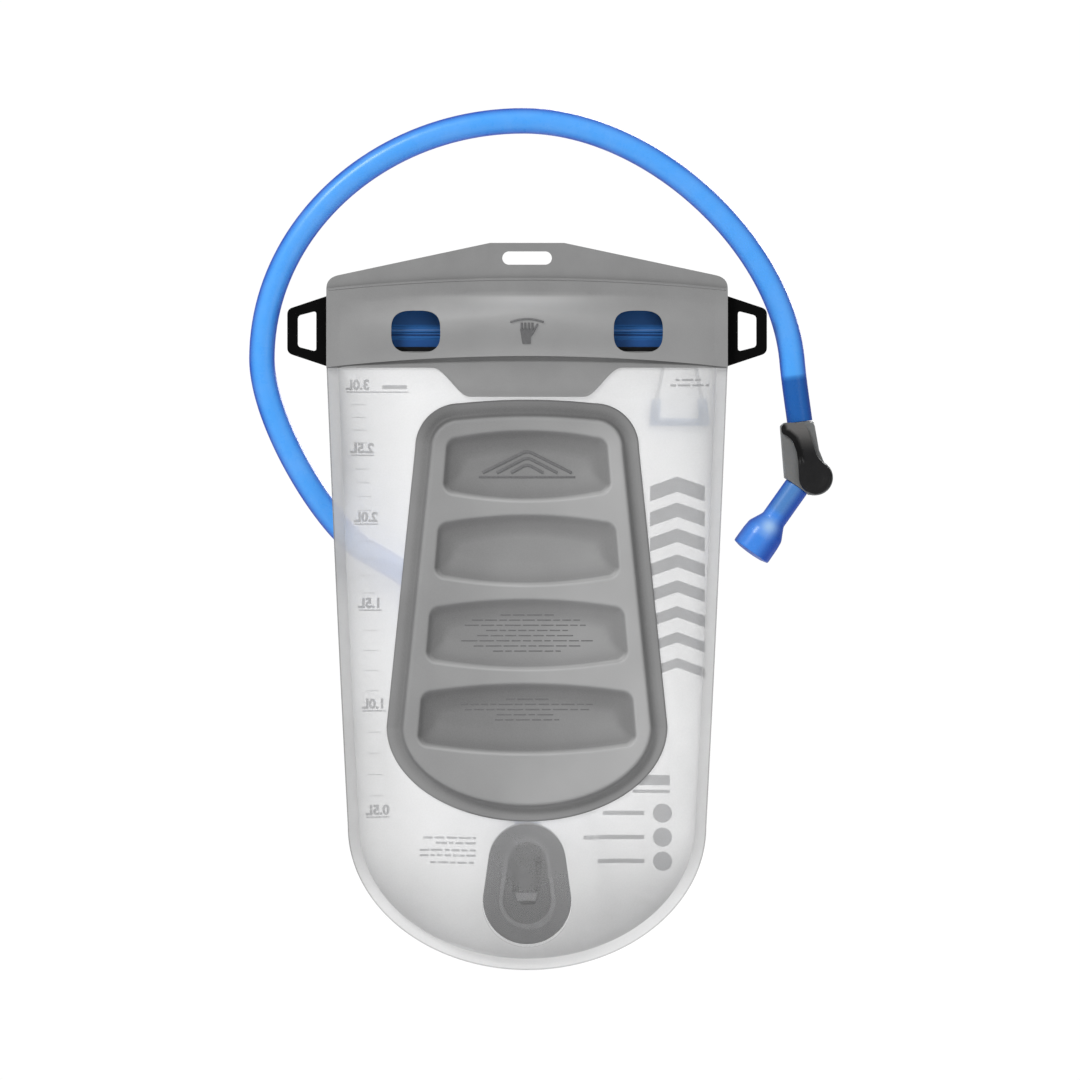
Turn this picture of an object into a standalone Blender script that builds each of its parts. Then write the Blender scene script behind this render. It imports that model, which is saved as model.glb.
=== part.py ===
"""Hydration bladder, hanging upright, in metres.

The origin is the middle of the hang slot's upper wall. +Z is up, +X runs along the zip and -Y is the
harness side: the back plate and the carry band face -Y, the port, the zip slider and the hose are on
the +Y side. Every piece is one closed solid in its own object.
"""

import bmesh
import bpy
from math import cos, hypot, pi, radians, sin, sqrt
from mathutils import Vector

MM = 0.001
GAP = 0.3 * MM  # clearance between pieces that touch on the real object

# Bag outline, seen along Y. Half widths are measured from the middle plane x = 0.
BAG_HALF_TOP = 113.3 * MM
BAG_HALF_LOW = 101.3 * MM
BAG_STRAIGHT_Z = -65.8 * MM  # the sides start to taper here
BAG_TAPER_Z = -325.0 * MM  # the sides meet the elliptical bottom here
BAG_BOTTOM_RISE = 81.0 * MM
TAPER_LINEAR = 10.3 * MM
WELD_WIDTH = 6.5 * MM
FILM_ROW_Z = -281.0 * MM  # the film's rows are closer together below this height
FILM_INSETS = (0.0, WELD_WIDTH, 9 * MM, 13 * MM, 20 * MM, 32 * MM, 50 * MM, 75 * MM)

# Depths. The header sheet lies in the plane y = 0; the films meet at the weld plane.
WELD_Y = 1.75 * MM
FILM = 0.8 * MM
FILM_LIFT = GAP / 2
BACK_BULGE = 9.0 * MM
FRONT_BULGE = 15.0 * MM
SHEET = 1.0 * MM
BACK_FILM_TOP = -24.0 * MM
BACK_RISE_START = -62.0 * MM
BACK_RISE_LENGTH = 22.0 * MM
BACK_SIDE_LENGTH = 17.0 * MM
FRONT_FILM_TOP = -57.0 * MM
FRONT_RISE_START = -64.0 * MM
FRONT_RISE_LENGTH = 60.0 * MM
FRONT_SIDE_LENGTH = 45.0 * MM

# Header sheet and hang slot
HEADER_TOP = 4.8 * MM
HEADER_TOP_HALF = 21.0 * MM
HEADER_SHOULDER_X = 106.0 * MM
HEADER_SHOULDER_Z = -13.3 * MM
HEADER_CORNER = 7.3 * MM
HEADER_CORNER_BEND = 1.5 * MM  # the corner curve's guide point lies this far under the shoulder
HEADER_LOW = -33.0 * MM
SLOT_WIDTH = 28.0 * MM
SLOT_HEIGHT = 7.5 * MM

# Collar panel, with its tab in the middle
COLLAR_TOP = -56.5 * MM
COLLAR_SIDE_Z = -65.8 * MM
COLLAR_TAB_Z = -82.4 * MM
COLLAR_TAB_HALF = 32.0 * MM
COLLAR_SLOPE_X = 53.5 * MM
COLLAR_LIFT = 0.8 * MM

# Carry band
BAND_THICKNESS = 1.3 * MM
BAND_INNER_Y = WELD_Y - FILM_LIFT - FILM - COLLAR_LIFT - SHEET - 2 * GAP
BAND_BOW = 12.0 * MM
BAND_WELDED_X = 106.0 * MM
BAND_TOP_MIDDLE = -15.0 * MM
BAND_TOP_SIDE = -21.0 * MM
BAND_LOW_MIDDLE = -59.2 * MM
BAND_LOW_SIDE = -65.5 * MM
BAND_FLAT_SHARE = 0.12  # share of the band's height that lies flat under its weld
BAND_RISE_SHARE = 0.5  # share of its height over which it rises to its full bow
BAND_SIDE_POWER = 3  # how square the bow is along X
BAND_HALF_COLUMNS = 11
BAND_COLUMN_POWER = 0.8  # the band's columns are closer together at its ends
FRONT_STRIP_TOP = BAND_TOP_SIDE - 1.0 * MM
WINDOW_X = 62.7 * MM
WINDOW_Z = -45.5 * MM
WINDOW_WIDTH = 27.7 * MM
WINDOW_HEIGHT = 23.7 * MM
WINDOW_CORNER = 7.5 * MM

# Zip: two extruded tapes whose rails lock into each other at ZIP_Z
ZIP_Z = -45.75 * MM
ZIP_HALF_LENGTH = 110.5 * MM
TAPE_LOW_Y = WELD_Y + 1.25 * MM
TAPE = 0.8 * MM
TAPE_REACH = 16.0 * MM
NECK_HALF = 3.7 * MM
HEAD_HALF = 5.5 * MM
RAIL_BACK_Y = WELD_Y + 0.9 * MM
HEAD_LOW_Y = WELD_Y + 3.6 * MM
HEAD_TOP_Y = WELD_Y + 5.4 * MM
TONGUE = 1.6 * MM

# End tabs of the zip
TAB_INNER_X = 111.0 * MM
TAB_OUTER_X = 135.6 * MM
TAB_INNER_HALF = 20.6 * MM
TAB_OUTER_HALF = 12.4 * MM
TAB_Z = -44.9 * MM
TAB_THICKNESS = 3.0 * MM
TAB_HOLE_INNER_X = 119.2 * MM
TAB_HOLE_OUTER_X = 129.7 * MM
TAB_HOLE_INNER_HALF = 11.5 * MM
TAB_HOLE_OUTER_HALF = 8.8 * MM
TAB_CORNER = 3.0 * MM
TAB_HOLE_CORNER = 2.0 * MM

# Slider and pull
SLIDER_X = 86.5 * MM
SLIDER_LENGTH = 24.0 * MM
SLIDER_CLEARANCE = 0.4 * MM
SLIDER_WALL = 2.0 * MM
LUG_HALF = 3.0 * MM
LUG_FOOT_HALF = 4.2 * MM
LUG_SHOULDER_HALF = 2.6 * MM
LUG_SHOULDER = 1.5 * MM
LUG_TOP_HALF = 1.2 * MM
LUG_WALL = 1.5 * MM
RAIL_GROOVE_Y = WELD_Y + 2.2 * MM  # inner side of the rails' tongue and groove
PULL_AXIS_Y = WELD_Y + 10.2 * MM
CORD_R = 1.1 * MM
CORD_HALF_TOP = 5.35 * MM
CORD_HALF_LOW = 12.9 * MM
GRIP_TOP_Z = -82.6 * MM
GRIP_LOW_Z = -98.2 * MM
GRIP_HALF_TOP = 15.6 * MM
GRIP_HALF_LOW = 17.2 * MM
GRIP_LEG = 5.6 * MM
GRIP_BAR = 4.6 * MM
GRIP_Y = WELD_Y + 15.0 * MM
GRIP_THICKNESS = 3.0 * MM
GRIP_CORNER = 3.0 * MM
GRIP_INNER_RISE = 1.0 * MM
GRIP_INNER_RUN = 2.0 * MM
CORD_TURN = 2.2 * MM  # reach of the bend where the cord leaves the lug

# Back plate: a moulded sheet with a flange, a raised field and four recesses
PLATE_BACK_Y = WELD_Y - FILM_LIFT - FILM - BACK_BULGE - GAP
PLATE_FLANGE = 1.1 * MM
PLATE_HEIGHT = 5.0 * MM
PLATE_WALL = 1.2 * MM
PLATE_RIM = 9.6 * MM
PLATE_TOP = -84.0 * MM
PLATE_TOP_DROP = 2.0 * MM
PLATE_CORNER = 21.0 * MM
PLATE_CORNER_X = 42.0 * MM
PLATE_HALF_LOW = 79.1 * MM
PLATE_ELLIPSE_Z = -268.0 * MM
PLATE_ELLIPSE_RISE = 53.5 * MM
RECESS_DEPTH = 4.0 * MM
RECESS_COUNT = 4
RECESS_TOP = -101.4 * MM
RECESS_PITCH = 47.4 * MM
RECESS_HEIGHT = 39.6 * MM
RECESS_HALF = 47.0 * MM
RECESS_GROWTH = 4.8 * MM
RECESS_ARCH = 5.0 * MM
RECESS_CORNER = 5.0 * MM
RECESS_LEAN = 1.5 * MM  # a recess is narrower by this at its top and wider at its bottom

# Port: a teardrop flange that carries a vertical socket
PORT_LOW_Z = -367.3 * MM
PORT_LOW_R = 25.1 * MM
PORT_TOP_Z = -345.0 * MM
PORT_TOP_R = 22.0 * MM
PORT_FILM_BULGE = 9.0 * MM
PORT_FLAT_MARGIN = 14.0 * MM
PORT_BLEND = 14.0 * MM
PORT_FLANGE = 1.75 * MM
PORT_FLANGE_Y = WELD_Y + FILM_LIFT + FILM + PORT_FILM_BULGE + GAP
SOCKET_Y = WELD_Y + 25.0 * MM
SOCKET_R = 11.0 * MM
SOCKET_TOP = -336.4 * MM
SOCKET_LOW = -378.0 * MM
BORE_R = 7.3 * MM
SEAT_TOP = -357.2 * MM
SEAT_LOW = -358.8 * MM
SEAT_R = 5.0 * MM
INLET_Z = -370.0 * MM
INLET_R = 3.6 * MM
PEDESTAL_INSET = 7.5 * MM
PEDESTAL = 1.5 * MM
PLUG_HEAD_R = 9.0 * MM
PLUG_HEAD = 2.1 * MM
PLUG_R = 6.9 * MM
PLUG_LENGTH = 4.8 * MM
CUT_OVER = 1.0 * MM  # how far a cutter reaches past the surface it opens

# Release latch
LATCH_Z = -344.8 * MM
LATCH_THICKNESS = 2.4 * MM
LATCH_HALF = 9.0 * MM
LATCH_TRAVEL = 2.0 * MM
LATCH_HEAD_R = 6.5 * MM
LATCH_HEAD = 2.6 * MM
LATCH_SLOT_LIFT = 1.9 * MM  # the latch slot starts this far over the flange
LATCH_NECK_HALF = 4.0 * MM
LATCH_SHOULDER = 4.0 * MM  # the latch narrows from this far in front of the socket's axis
LATCH_JOIN = 0.8 * MM  # how far the neck runs into the head

# Check valve
POPPET_R = 6.2 * MM
POPPET_TOP = -363.6 * MM
SPRING_R = 4.6 * MM
SPRING_WIRE = 0.55 * MM
SPRING_TURNS = 4
SPRING_TURN_STEPS = 10
POPPET_HEAD = 2.4 * MM
POPPET_CONE = 0.8 * MM
POPPET_FLAT_R = 5.2 * MM
STEM_R = 1.8 * MM
STEM_CAP_R = 4.2 * MM
STEM_CAP = 1.2 * MM
STEM_CAP_CONE = 0.4 * MM
STEM_LENGTH = 7.6 * MM
RING_BORE_R = 5.2 * MM
RING_R = 7.0 * MM
RING_HEIGHT = 1.2 * MM

# Connector: heights of its steps, from its lower end up
SPIGOT_R = 6.8 * MM
SPIGOT_LOW = -355.5 * MM
SEAL_GROOVE = (-351.0 * MM, -348.8 * MM, 5.3 * MM)  # low, high, radius
LATCH_GROOVE = (-346.6 * MM, -343.0 * MM, 5.8 * MM)
CONNECTOR_COLLAR = (-336.0 * MM, -331.2 * MM, 9.6 * MM)
CONNECTOR_BARBS = (-324.0 * MM, -317.0 * MM)
CONNECTOR_TOP = -311.0 * MM
SEAL_R = 6.25 * MM
SEAL_CORD_R = 0.65 * MM

# Hose
HOSE_R = 7.0 * MM
HOSE_BORE_R = 4.75 * MM
HOSE_START_Z = -330.6 * MM
HOSE_LOOP_Y = WELD_Y + 14.0 * MM

# On/off valve, at the hose's far end
HOSE_END = Vector((154.8 * MM, HOSE_LOOP_Y, -96.0 * MM))
VALVE_IN = Vector((0.134, 0.0, -0.991)).normalized()
VALVE_OUT = Vector((-0.577, 0.0, -0.817)).normalized()
OUTLET = Vector((153.1 * MM, HOSE_LOOP_Y, -132.6 * MM))
ROTOR_X = 163.3 * MM
ROTOR_Z = -127.7 * MM
ROTOR_R = 7.7 * MM
ROTOR_CAVITY_R = 8.1 * MM
CAVITY_DEPTH = 13.5 * MM
OUTLET_HALF = 8.6 * MM
ROTOR_NECK_R = 3.4 * MM
ROTOR_NECK = 2.2 * MM
ROTOR_SEAL_R = 7.0 * MM
VALVE_SHELL_R = 10.0 * MM
VALVE_HALF_DEPTH = 7.5 * MM
CHANNEL_R = 3.0 * MM
BARB_R = 4.3 * MM
BARB_STEP = 0.6 * MM
BARB_LENGTH = 22.0 * MM
OUTLET_BARB_LENGTH = 17.0 * MM
LEVER_THICKNESS = 3.5 * MM
LEVER_SEAT = 2.3 * MM
LEVER_DISC_R = 9.4 * MM

# Bite valve, along the outlet's axis
BITE_STUB_R = 7.2 * MM
BITE_STUB = 23.5 * MM
BITE_NECK = 31.5 * MM
BITE_HEAD_R = 11.6 * MM
BITE_LENGTH = 45.9 * MM
BITE_BORE_R = 4.9 * MM
BITE_WALL = 2.4 * MM
BITE_SLIT = 15.0 * MM

# Colours (linear RGB), roughness, metallic
GREY = (0.28, 0.28, 0.285)
FINISHES = {
    "clear_film": ((0.80, 0.82, 0.83), 0.45, 0.0),
    "grey_sheet": (GREY, 0.55, 0.0),
    "grey_plate": ((0.24, 0.24, 0.245), 0.5, 0.0),
    "zip_blue": ((0.02, 0.09, 0.30), 0.45, 0.0),
    "tab_black": ((0.012, 0.012, 0.013), 0.5, 0.0),
    "slider_black": ((0.02, 0.02, 0.022), 0.4, 0.0),
    "cord_grey": ((0.45, 0.46, 0.48), 0.8, 0.0),
    "grip_blue": ((0.25, 0.50, 0.80), 0.5, 0.0),
    "port_grey": ((0.16, 0.16, 0.165), 0.45, 0.0),
    "seal_black": ((0.01, 0.01, 0.01), 0.7, 0.0),
    "poppet_white": ((0.7, 0.7, 0.7), 0.4, 0.0),
    "spring_steel": ((0.6, 0.6, 0.62), 0.3, 1.0),
    "hose_blue": ((0.05, 0.30, 0.90), 0.25, 0.0),
    "valve_grey": ((0.30, 0.31, 0.31), 0.3, 0.0),
    "lever_black": ((0.02, 0.02, 0.021), 0.45, 0.0),
    "bite_blue": ((0.03, 0.20, 0.75), 0.4, 0.0),
}

SMOOTH_ANGLE = radians(35.0)


# ---------------------------------------------------------------- mesh tools


def clamp01(value):
    return min(max(value, 0.0), 1.0)


def smooth01(value):
    t = clamp01(value)
    return t * t * (3.0 - 2.0 * t)


def spread(first, last, count):
    """count + 1 evenly spaced values from first to last."""
    return [first + (last - first) * i / count for i in range(count + 1)]


def add_object(name, bm, finish):
    """A mesh object with its own material, from a bmesh that this call uses up."""
    bmesh.ops.recalc_face_normals(bm, faces=bm.faces)
    mesh = bpy.data.meshes.new(name)
    bm.to_mesh(mesh)
    bm.free()
    mesh.shade_smooth()
    mesh.set_sharp_from_angle(angle=SMOOTH_ANGLE)
    colour, roughness, metallic = FINISHES[finish]
    material = bpy.data.materials.new(name)
    material.use_nodes = True
    shader = material.node_tree.nodes["Principled BSDF"]
    shader.inputs["Base Color"].default_value = (*colour, 1.0)
    shader.inputs["Roughness"].default_value = roughness
    shader.inputs["Metallic"].default_value = metallic
    mesh.materials.append(material)
    piece = bpy.data.objects.new(name, mesh)
    bpy.context.scene.collection.objects.link(piece)
    return piece


def add_guide(name, bm):
    """A hidden body that a Boolean modifier uses."""
    bmesh.ops.recalc_face_normals(bm, faces=bm.faces)
    mesh = bpy.data.meshes.new(name)
    bm.to_mesh(mesh)
    bm.free()
    guide = bpy.data.objects.new(name, mesh)
    bpy.context.scene.collection.objects.link(guide)
    guide.hide_render = True
    guide.display_type = "WIRE"
    return guide


def boolean(piece, operation, *guides):
    """One EXACT Boolean modifier on piece per guide, in order."""
    for guide in guides:
        modifier = piece.modifiers.new(operation.lower(), "BOOLEAN")
        modifier.operation = operation
        modifier.solver = "EXACT"
        modifier.object = guide


def skin(rings, loop=False):
    """A closed surface over rings of equal length, capped at both ends or joined end to end."""
    bm = bmesh.new()
    layers = [[bm.verts.new(p) for p in ring] for ring in rings]
    pairs = list(zip(layers, layers[1:]))
    if loop:
        pairs.append((layers[-1], layers[0]))
    for low, high in pairs:
        for i in range(len(low)):
            j = (i + 1) % len(low)
            bm.faces.new((low[i], low[j], high[j], high[i]))
    if not loop:
        bm.faces.new(layers[0][::-1])
        bm.faces.new(layers[-1])
    return bm


def slab(outline, y_low, y_high, holes=()):
    """A plate between two Y planes from an outline of (x, z) points, with holes through it."""
    bm = bmesh.new()
    edges = []
    for loop in (outline, *holes):
        verts = [bm.verts.new((x, y_low, z)) for x, z in loop]
        edges += [bm.edges.new(pair) for pair in zip(verts, verts[1:] + verts[:1])]
    bmesh.ops.triangle_fill(bm, edges=edges, use_beauty=True)
    grown = bmesh.ops.extrude_face_region(bm, geom=bm.faces[:])
    moved = [g for g in grown["geom"] if isinstance(g, bmesh.types.BMVert)]
    bmesh.ops.translate(bm, verts=moved, vec=(0.0, y_high - y_low, 0.0))
    return bm


def bar(section, x_low, x_high):
    """A prism along X from a section of (y, z) points."""
    return skin([[(x, y, z) for y, z in section] for x in (x_low, x_high)])


def round_ring(centre, across, along, radius, count):
    """Points on a circle about centre, in the plane of the unit vectors across and along."""
    angles = [2.0 * pi * i / count for i in range(count)]
    return [centre + (across * cos(a) + along * sin(a)) * radius for a in angles]


def lathe(profile, origin, axis, count=20, loop=False):
    """A turned solid: profile is (radius, distance along axis from origin)."""
    axis = Vector(axis).normalized()
    across = axis.orthogonal().normalized()
    along = axis.cross(across)
    rings = [round_ring(origin + axis * d, across, along, r, count) for r, d in profile]
    return skin(rings, loop)


def rod(origin, axis, radius, length, count=20):
    """A plain cylinder from origin along axis."""
    return lathe([(radius, 0.0), (radius, length)], Vector(origin), axis, count)


def sweep(path, radius, count):
    """Rings of the given radius along a path, carried without twist."""
    rings = []
    across = None
    for i, point in enumerate(path):
        ahead = path[min(i + 1, len(path) - 1)] - path[max(i - 1, 0)]
        tangent = ahead.normalized()
        if across is None:
            across = tangent.orthogonal().normalized()
        across = (across - tangent * across.dot(tangent)).normalized()
        rings.append(round_ring(point, across, tangent.cross(across), radius, count))
    return rings


def pipe(path, outer_r, inner_r, count):
    """A hollow tube along a path, open at both ends."""
    return skin(sweep(path, outer_r, count) + sweep(path, inner_r, count)[::-1], loop=True)


def bezier(a, b, c, d, count):
    """Points of a cubic curve, without its last point."""
    points = []
    for i in range(count):
        t = i / count
        s = 1.0 - t
        points.append(a * s**3 + b * 3 * s * s * t + c * 3 * s * t * t + d * t**3)
    return points


def rounded(corners, radius, steps=4):
    """An outline with each corner of a convex polygon replaced by a curve of about this radius."""
    outline = []
    count = len(corners)
    for i, corner in enumerate(corners):
        here = Vector(corner)
        before = here + (Vector(corners[i - 1]) - here).normalized() * radius
        after = here + (Vector(corners[(i + 1) % count]) - here).normalized() * radius
        for t in spread(0.0, 1.0, steps):
            outline.append(before * (1 - t) ** 2 + here * 2 * t * (1 - t) + after * t * t)
    return [(p.x, p.y) for p in outline]


def block(x_low, x_high, z_low, z_high):
    """A rectangular outline."""
    return [(x_low, z_low), (x_high, z_low), (x_high, z_high), (x_low, z_high)]


def mirrored(half):
    """A whole outline from its right half, listed from the top middle to the bottom middle."""
    left = [(-x, z) for x, z in reversed(half) if x > 1e-6]
    return list(half) + left


# ---------------------------------------------------------------- bag surfaces


def bag_half_width(z):
    """Half width of the bag at a height."""
    if z >= BAG_STRAIGHT_Z:
        return BAG_HALF_TOP
    if z >= BAG_TAPER_Z:
        t = (BAG_STRAIGHT_Z - z) / (BAG_STRAIGHT_Z - BAG_TAPER_Z)
        drop = BAG_HALF_TOP - BAG_HALF_LOW
        return BAG_HALF_TOP - TAPER_LINEAR * t - (drop - TAPER_LINEAR) * t * t
    return BAG_HALF_LOW * sqrt(max(0.0, 1.0 - ((BAG_TAPER_Z - z) / BAG_BOTTOM_RISE) ** 2))


def edge_distance(x, z):
    """Distance from the bag's edge, inwards."""
    if z >= BAG_TAPER_Z:
        return bag_half_width(z) - abs(x)
    dz = BAG_TAPER_Z - z
    share = hypot(x / BAG_HALF_LOW, dz / BAG_BOTTOM_RISE)
    return hypot(x, dz) * (1.0 / share - 1.0)


def pillow(distance, length):
    """0 at the weld, rising like a quarter circle to 1 at the given length."""
    return sqrt(max(0.0, 1.0 - (1.0 - clamp01(distance / length)) ** 2))


def port_distance(x, z, margin=0.0):
    """Distance outside the port's teardrop, which hulls a lower and an upper circle."""
    across = abs(x)
    up = z - PORT_LOW_Z
    height = PORT_TOP_Z - PORT_LOW_Z
    lean = (PORT_LOW_R - PORT_TOP_R) / height
    side = sqrt(1.0 - lean * lean)
    turn = -lean * across + side * up
    if turn < 0.0:
        return hypot(across, up) - PORT_LOW_R - margin
    if turn > side * height:
        return hypot(across, up - height) - PORT_TOP_R - margin
    return across * side + up * lean - PORT_LOW_R - margin


def back_bulge(x, z):
    """How far the back film stands from the weld plane, towards -Y."""
    rise = sin(pi / 2 * clamp01((BACK_RISE_START - z) / BACK_RISE_LENGTH))
    return BACK_BULGE * rise * pillow(edge_distance(x, z) - WELD_WIDTH, BACK_SIDE_LENGTH)


def front_bulge(x, z):
    """How far the front film stands from the weld plane; it lies flat under the port."""
    rise = sin(pi / 2 * clamp01((FRONT_RISE_START - z) / FRONT_RISE_LENGTH))
    inside = edge_distance(x, z) - WELD_WIDTH
    free = FRONT_BULGE * rise * pillow(inside, FRONT_SIDE_LENGTH)
    held = 1.0 - smooth01(port_distance(x, z, PORT_FLAT_MARGIN) / PORT_BLEND)
    held *= smooth01(inside / (WELD_WIDTH / 2))
    return free + (PORT_FILM_BULGE - free) * held


def bag_strips(top):
    """U-shaped rows of (x, z) points, from the bag's edge inwards, each left top to right top."""
    heights = [top] + spread(BACK_RISE_START, PLATE_TOP, 6)
    heights += spread(PLATE_TOP, FILM_ROW_Z, 8)[1:] + spread(FILM_ROW_Z, BAG_TAPER_Z, 4)[1:]
    strips = []
    for inset in FILM_INSETS:
        left = [(inset - bag_half_width(z), z) for z in heights]
        arc = []
        for angle in spread(0.0, pi, 14)[1:-1]:
            x = -(BAG_HALF_LOW - inset) * cos(angle)
            arc.append((x, BAG_TAPER_Z - (BAG_BOTTOM_RISE - inset) * sin(angle)))
        right = [(-x, z) for x, z in reversed(left)]
        strips.append(left + arc + right)
    return strips


def film(name, top, outer_y):
    """A bag film: a thin curved sheet over U-shaped strips, closed across the middle."""
    bm = bmesh.new()
    strips = bag_strips(top)
    count = len(strips[0])
    middle = [(0.0, z) for x, z in strips[-1][: count // 2]]
    middle.append((0.0, strips[-1][count // 2][1]))
    sides = []
    thickness = FILM if outer_y(0.0, PLATE_ELLIPSE_Z) < WELD_Y else -FILM
    for shift in (0.0, thickness):
        rows = [[bm.verts.new((x, outer_y(x, z) + shift, z)) for x, z in row] for row in strips]
        spine = [bm.verts.new((x, outer_y(x, z) + shift, z)) for x, z in middle[:-1]]
        for low, high in zip(rows, rows[1:]):
            for i in range(count - 1):
                bm.faces.new((low[i], low[i + 1], high[i + 1], high[i]))
        inner = rows[-1]
        half = count // 2
        for i in range(half - 1):
            bm.faces.new((inner[i], inner[i + 1], spine[i + 1], spine[i]))
            bm.faces.new((spine[i], spine[i + 1], inner[count - 2 - i], inner[count - 1 - i]))
        if count % 2:
            bm.faces.new((inner[half - 1], inner[half], inner[half + 1], spine[half - 1]))
        else:
            bm.faces.new((inner[half - 1], inner[half], spine[half - 1]))
        top_edge = [row[0] for row in rows] + [spine[0]] + [row[-1] for row in reversed(rows)]
        sides.append(rows[0] + top_edge[::-1][1:-1])
    front, back = sides
    for i in range(len(front)):
        j = (i + 1) % len(front)
        bm.faces.new((front[i], front[j], back[j], back[i]))
    return add_object(name, bm, "clear_film")


def make_films():
    def back_y(x, z):
        return WELD_Y - FILM_LIFT - FILM - back_bulge(x, z)

    def front_y(x, z):
        return WELD_Y + FILM_LIFT + FILM + front_bulge(x, z)

    film("back_film", BACK_FILM_TOP, back_y)
    front = film("front_film", FRONT_FILM_TOP, front_y)
    through = rod((0.0, WELD_Y, INLET_Z), (0, 1, 0), SEAT_R, 2 * FRONT_BULGE)
    boolean(front, "DIFFERENCE", add_guide("front_film_hole", through))


# ---------------------------------------------------------------- header, collar and band


def slot_outline():
    """The hang slot: straight upper and lower walls and round ends."""
    radius = SLOT_HEIGHT / 2
    straight = SLOT_WIDTH / 2 - radius
    angles = spread(0.0, pi, 8)
    right = [(straight + radius * sin(a), -radius + radius * cos(a)) for a in angles]
    return right + [(-x, z) for x, z in reversed(right)]


def make_header():
    right = [(HEADER_TOP_HALF, HEADER_TOP)]
    edge = Vector((HEADER_SHOULDER_X, HEADER_SHOULDER_Z))
    corner = Vector((BAG_HALF_TOP, HEADER_SHOULDER_Z - HEADER_CORNER_BEND))
    low = Vector((BAG_HALF_TOP, HEADER_SHOULDER_Z - HEADER_CORNER))
    for t in spread(0.0, 1.0, 5):
        point = edge * (1 - t) ** 2 + corner * 2 * t * (1 - t) + low * t * t
        right.append((point.x, point.y))
    right.append((BAG_HALF_TOP, HEADER_LOW))
    outline = right + [(-x, z) for x, z in reversed(right)]
    sheet = slab(outline, -SHEET / 2, SHEET / 2, [slot_outline()])
    add_object("header_sheet", sheet, "grey_sheet")
    low_y = WELD_Y + FILM_LIFT
    strip = block(-ZIP_HALF_LENGTH, ZIP_HALF_LENGTH, HEADER_LOW, FRONT_STRIP_TOP)
    add_object("front_strip", slab(strip, low_y, low_y + TAPE), "grey_sheet")


def collar_low(x):
    """Lower edge of the collar panel."""
    t = smooth01((COLLAR_SLOPE_X - abs(x)) / (COLLAR_SLOPE_X - COLLAR_TAB_HALF))
    return COLLAR_SIDE_Z + (COLLAR_TAB_Z - COLLAR_SIDE_Z) * t


def strip_sheet(name, columns, edge_rows, inner_y, outer_y, finish):
    """A thin sheet whose rows run between an upper and a lower edge over the same columns."""
    bm = bmesh.new()
    faces = []
    for surface in (inner_y, outer_y):
        grid = [[bm.verts.new((x, surface(x, z), z)) for x, z in row] for row in edge_rows]
        for low, high in zip(grid, grid[1:]):
            for i in range(len(columns) - 1):
                bm.faces.new((low[i], low[i + 1], high[i + 1], high[i]))
        faces.append(
            grid[0]
            + [row[-1] for row in grid[1:]]
            + grid[-1][-2::-1]
            + [row[0] for row in grid[-2:0:-1]]
        )
    inner, outer = faces
    for i in range(len(inner)):
        j = (i + 1) % len(inner)
        bm.faces.new((inner[i], inner[j], outer[j], outer[i]))
    return add_object(name, bm, finish)


def make_collar():
    half = [BAG_HALF_TOP - inset for inset in FILM_INSETS[:-2]]
    half += spread(COLLAR_SLOPE_X, COLLAR_TAB_HALF, 6) + [COLLAR_TAB_HALF / 2]
    columns = [-x for x in half] + [0.0] + half[::-1]
    rows = [
        [(x, COLLAR_TOP + (collar_low(x) - COLLAR_TOP) * t) for x in columns]
        for t in spread(0.0, 1.0, 6)
    ]

    def inner_y(x, z):
        return WELD_Y - FILM_LIFT - FILM - COLLAR_LIFT - back_bulge(x, z)

    def outer_y(x, z):
        return inner_y(x, z) - SHEET

    strip_sheet("collar_panel", columns, rows, inner_y, outer_y, "grey_sheet")


def band_edge(x, middle, side):
    """Height of an arched band edge."""
    return middle + (side - middle) * (x / BAG_HALF_TOP) ** 2


def band_bow(x, z):
    """How far the band stands out from its weld, towards -Y."""
    top = band_edge(x, BAND_TOP_MIDDLE, BAND_TOP_SIDE)
    low = band_edge(x, BAND_LOW_MIDDLE, BAND_LOW_SIDE)
    down = (top - z) / (top - low)
    across = max(0.0, 1.0 - (abs(x) / BAND_WELDED_X) ** BAND_SIDE_POWER)
    rise = sin(pi / 2 * clamp01((down - BAND_FLAT_SHARE) / BAND_RISE_SHARE))
    return BAND_BOW * across * rise


def make_band():
    half = [BAG_HALF_TOP * t**BAND_COLUMN_POWER for t in spread(1.0, 0.0, BAND_HALF_COLUMNS)[:-1]]
    columns = [-x for x in half] + [0.0] + half[::-1]
    rows = []
    for t in spread(0.0, 1.0, 10):
        row = []
        for x in columns:
            top = band_edge(x, BAND_TOP_MIDDLE, BAND_TOP_SIDE)
            low = band_edge(x, BAND_LOW_MIDDLE, BAND_LOW_SIDE)
            row.append((x, top + (low - top) * t))
        rows.append(row)

    def inner_y(x, z):
        return BAND_INNER_Y - band_bow(x, z)

    def outer_y(x, z):
        return inner_y(x, z) - BAND_THICKNESS

    band = strip_sheet("handle_band", columns, rows, inner_y, outer_y, "grey_sheet")
    for side in (-1, 1):
        corners = [
            (side * WINDOW_X + WINDOW_WIDTH / 2 * u, WINDOW_Z + WINDOW_HEIGHT / 2 * v)
            for u, v in ((-1, -1), (1, -1), (1, 1), (-1, 1))
        ]
        window = slab(rounded(corners, WINDOW_CORNER), -2 * BAND_BOW, 0.0)
        boolean(band, "DIFFERENCE", add_guide(f"window_{side}", window))


# ---------------------------------------------------------------- zip, tabs, slider and pull


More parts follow.
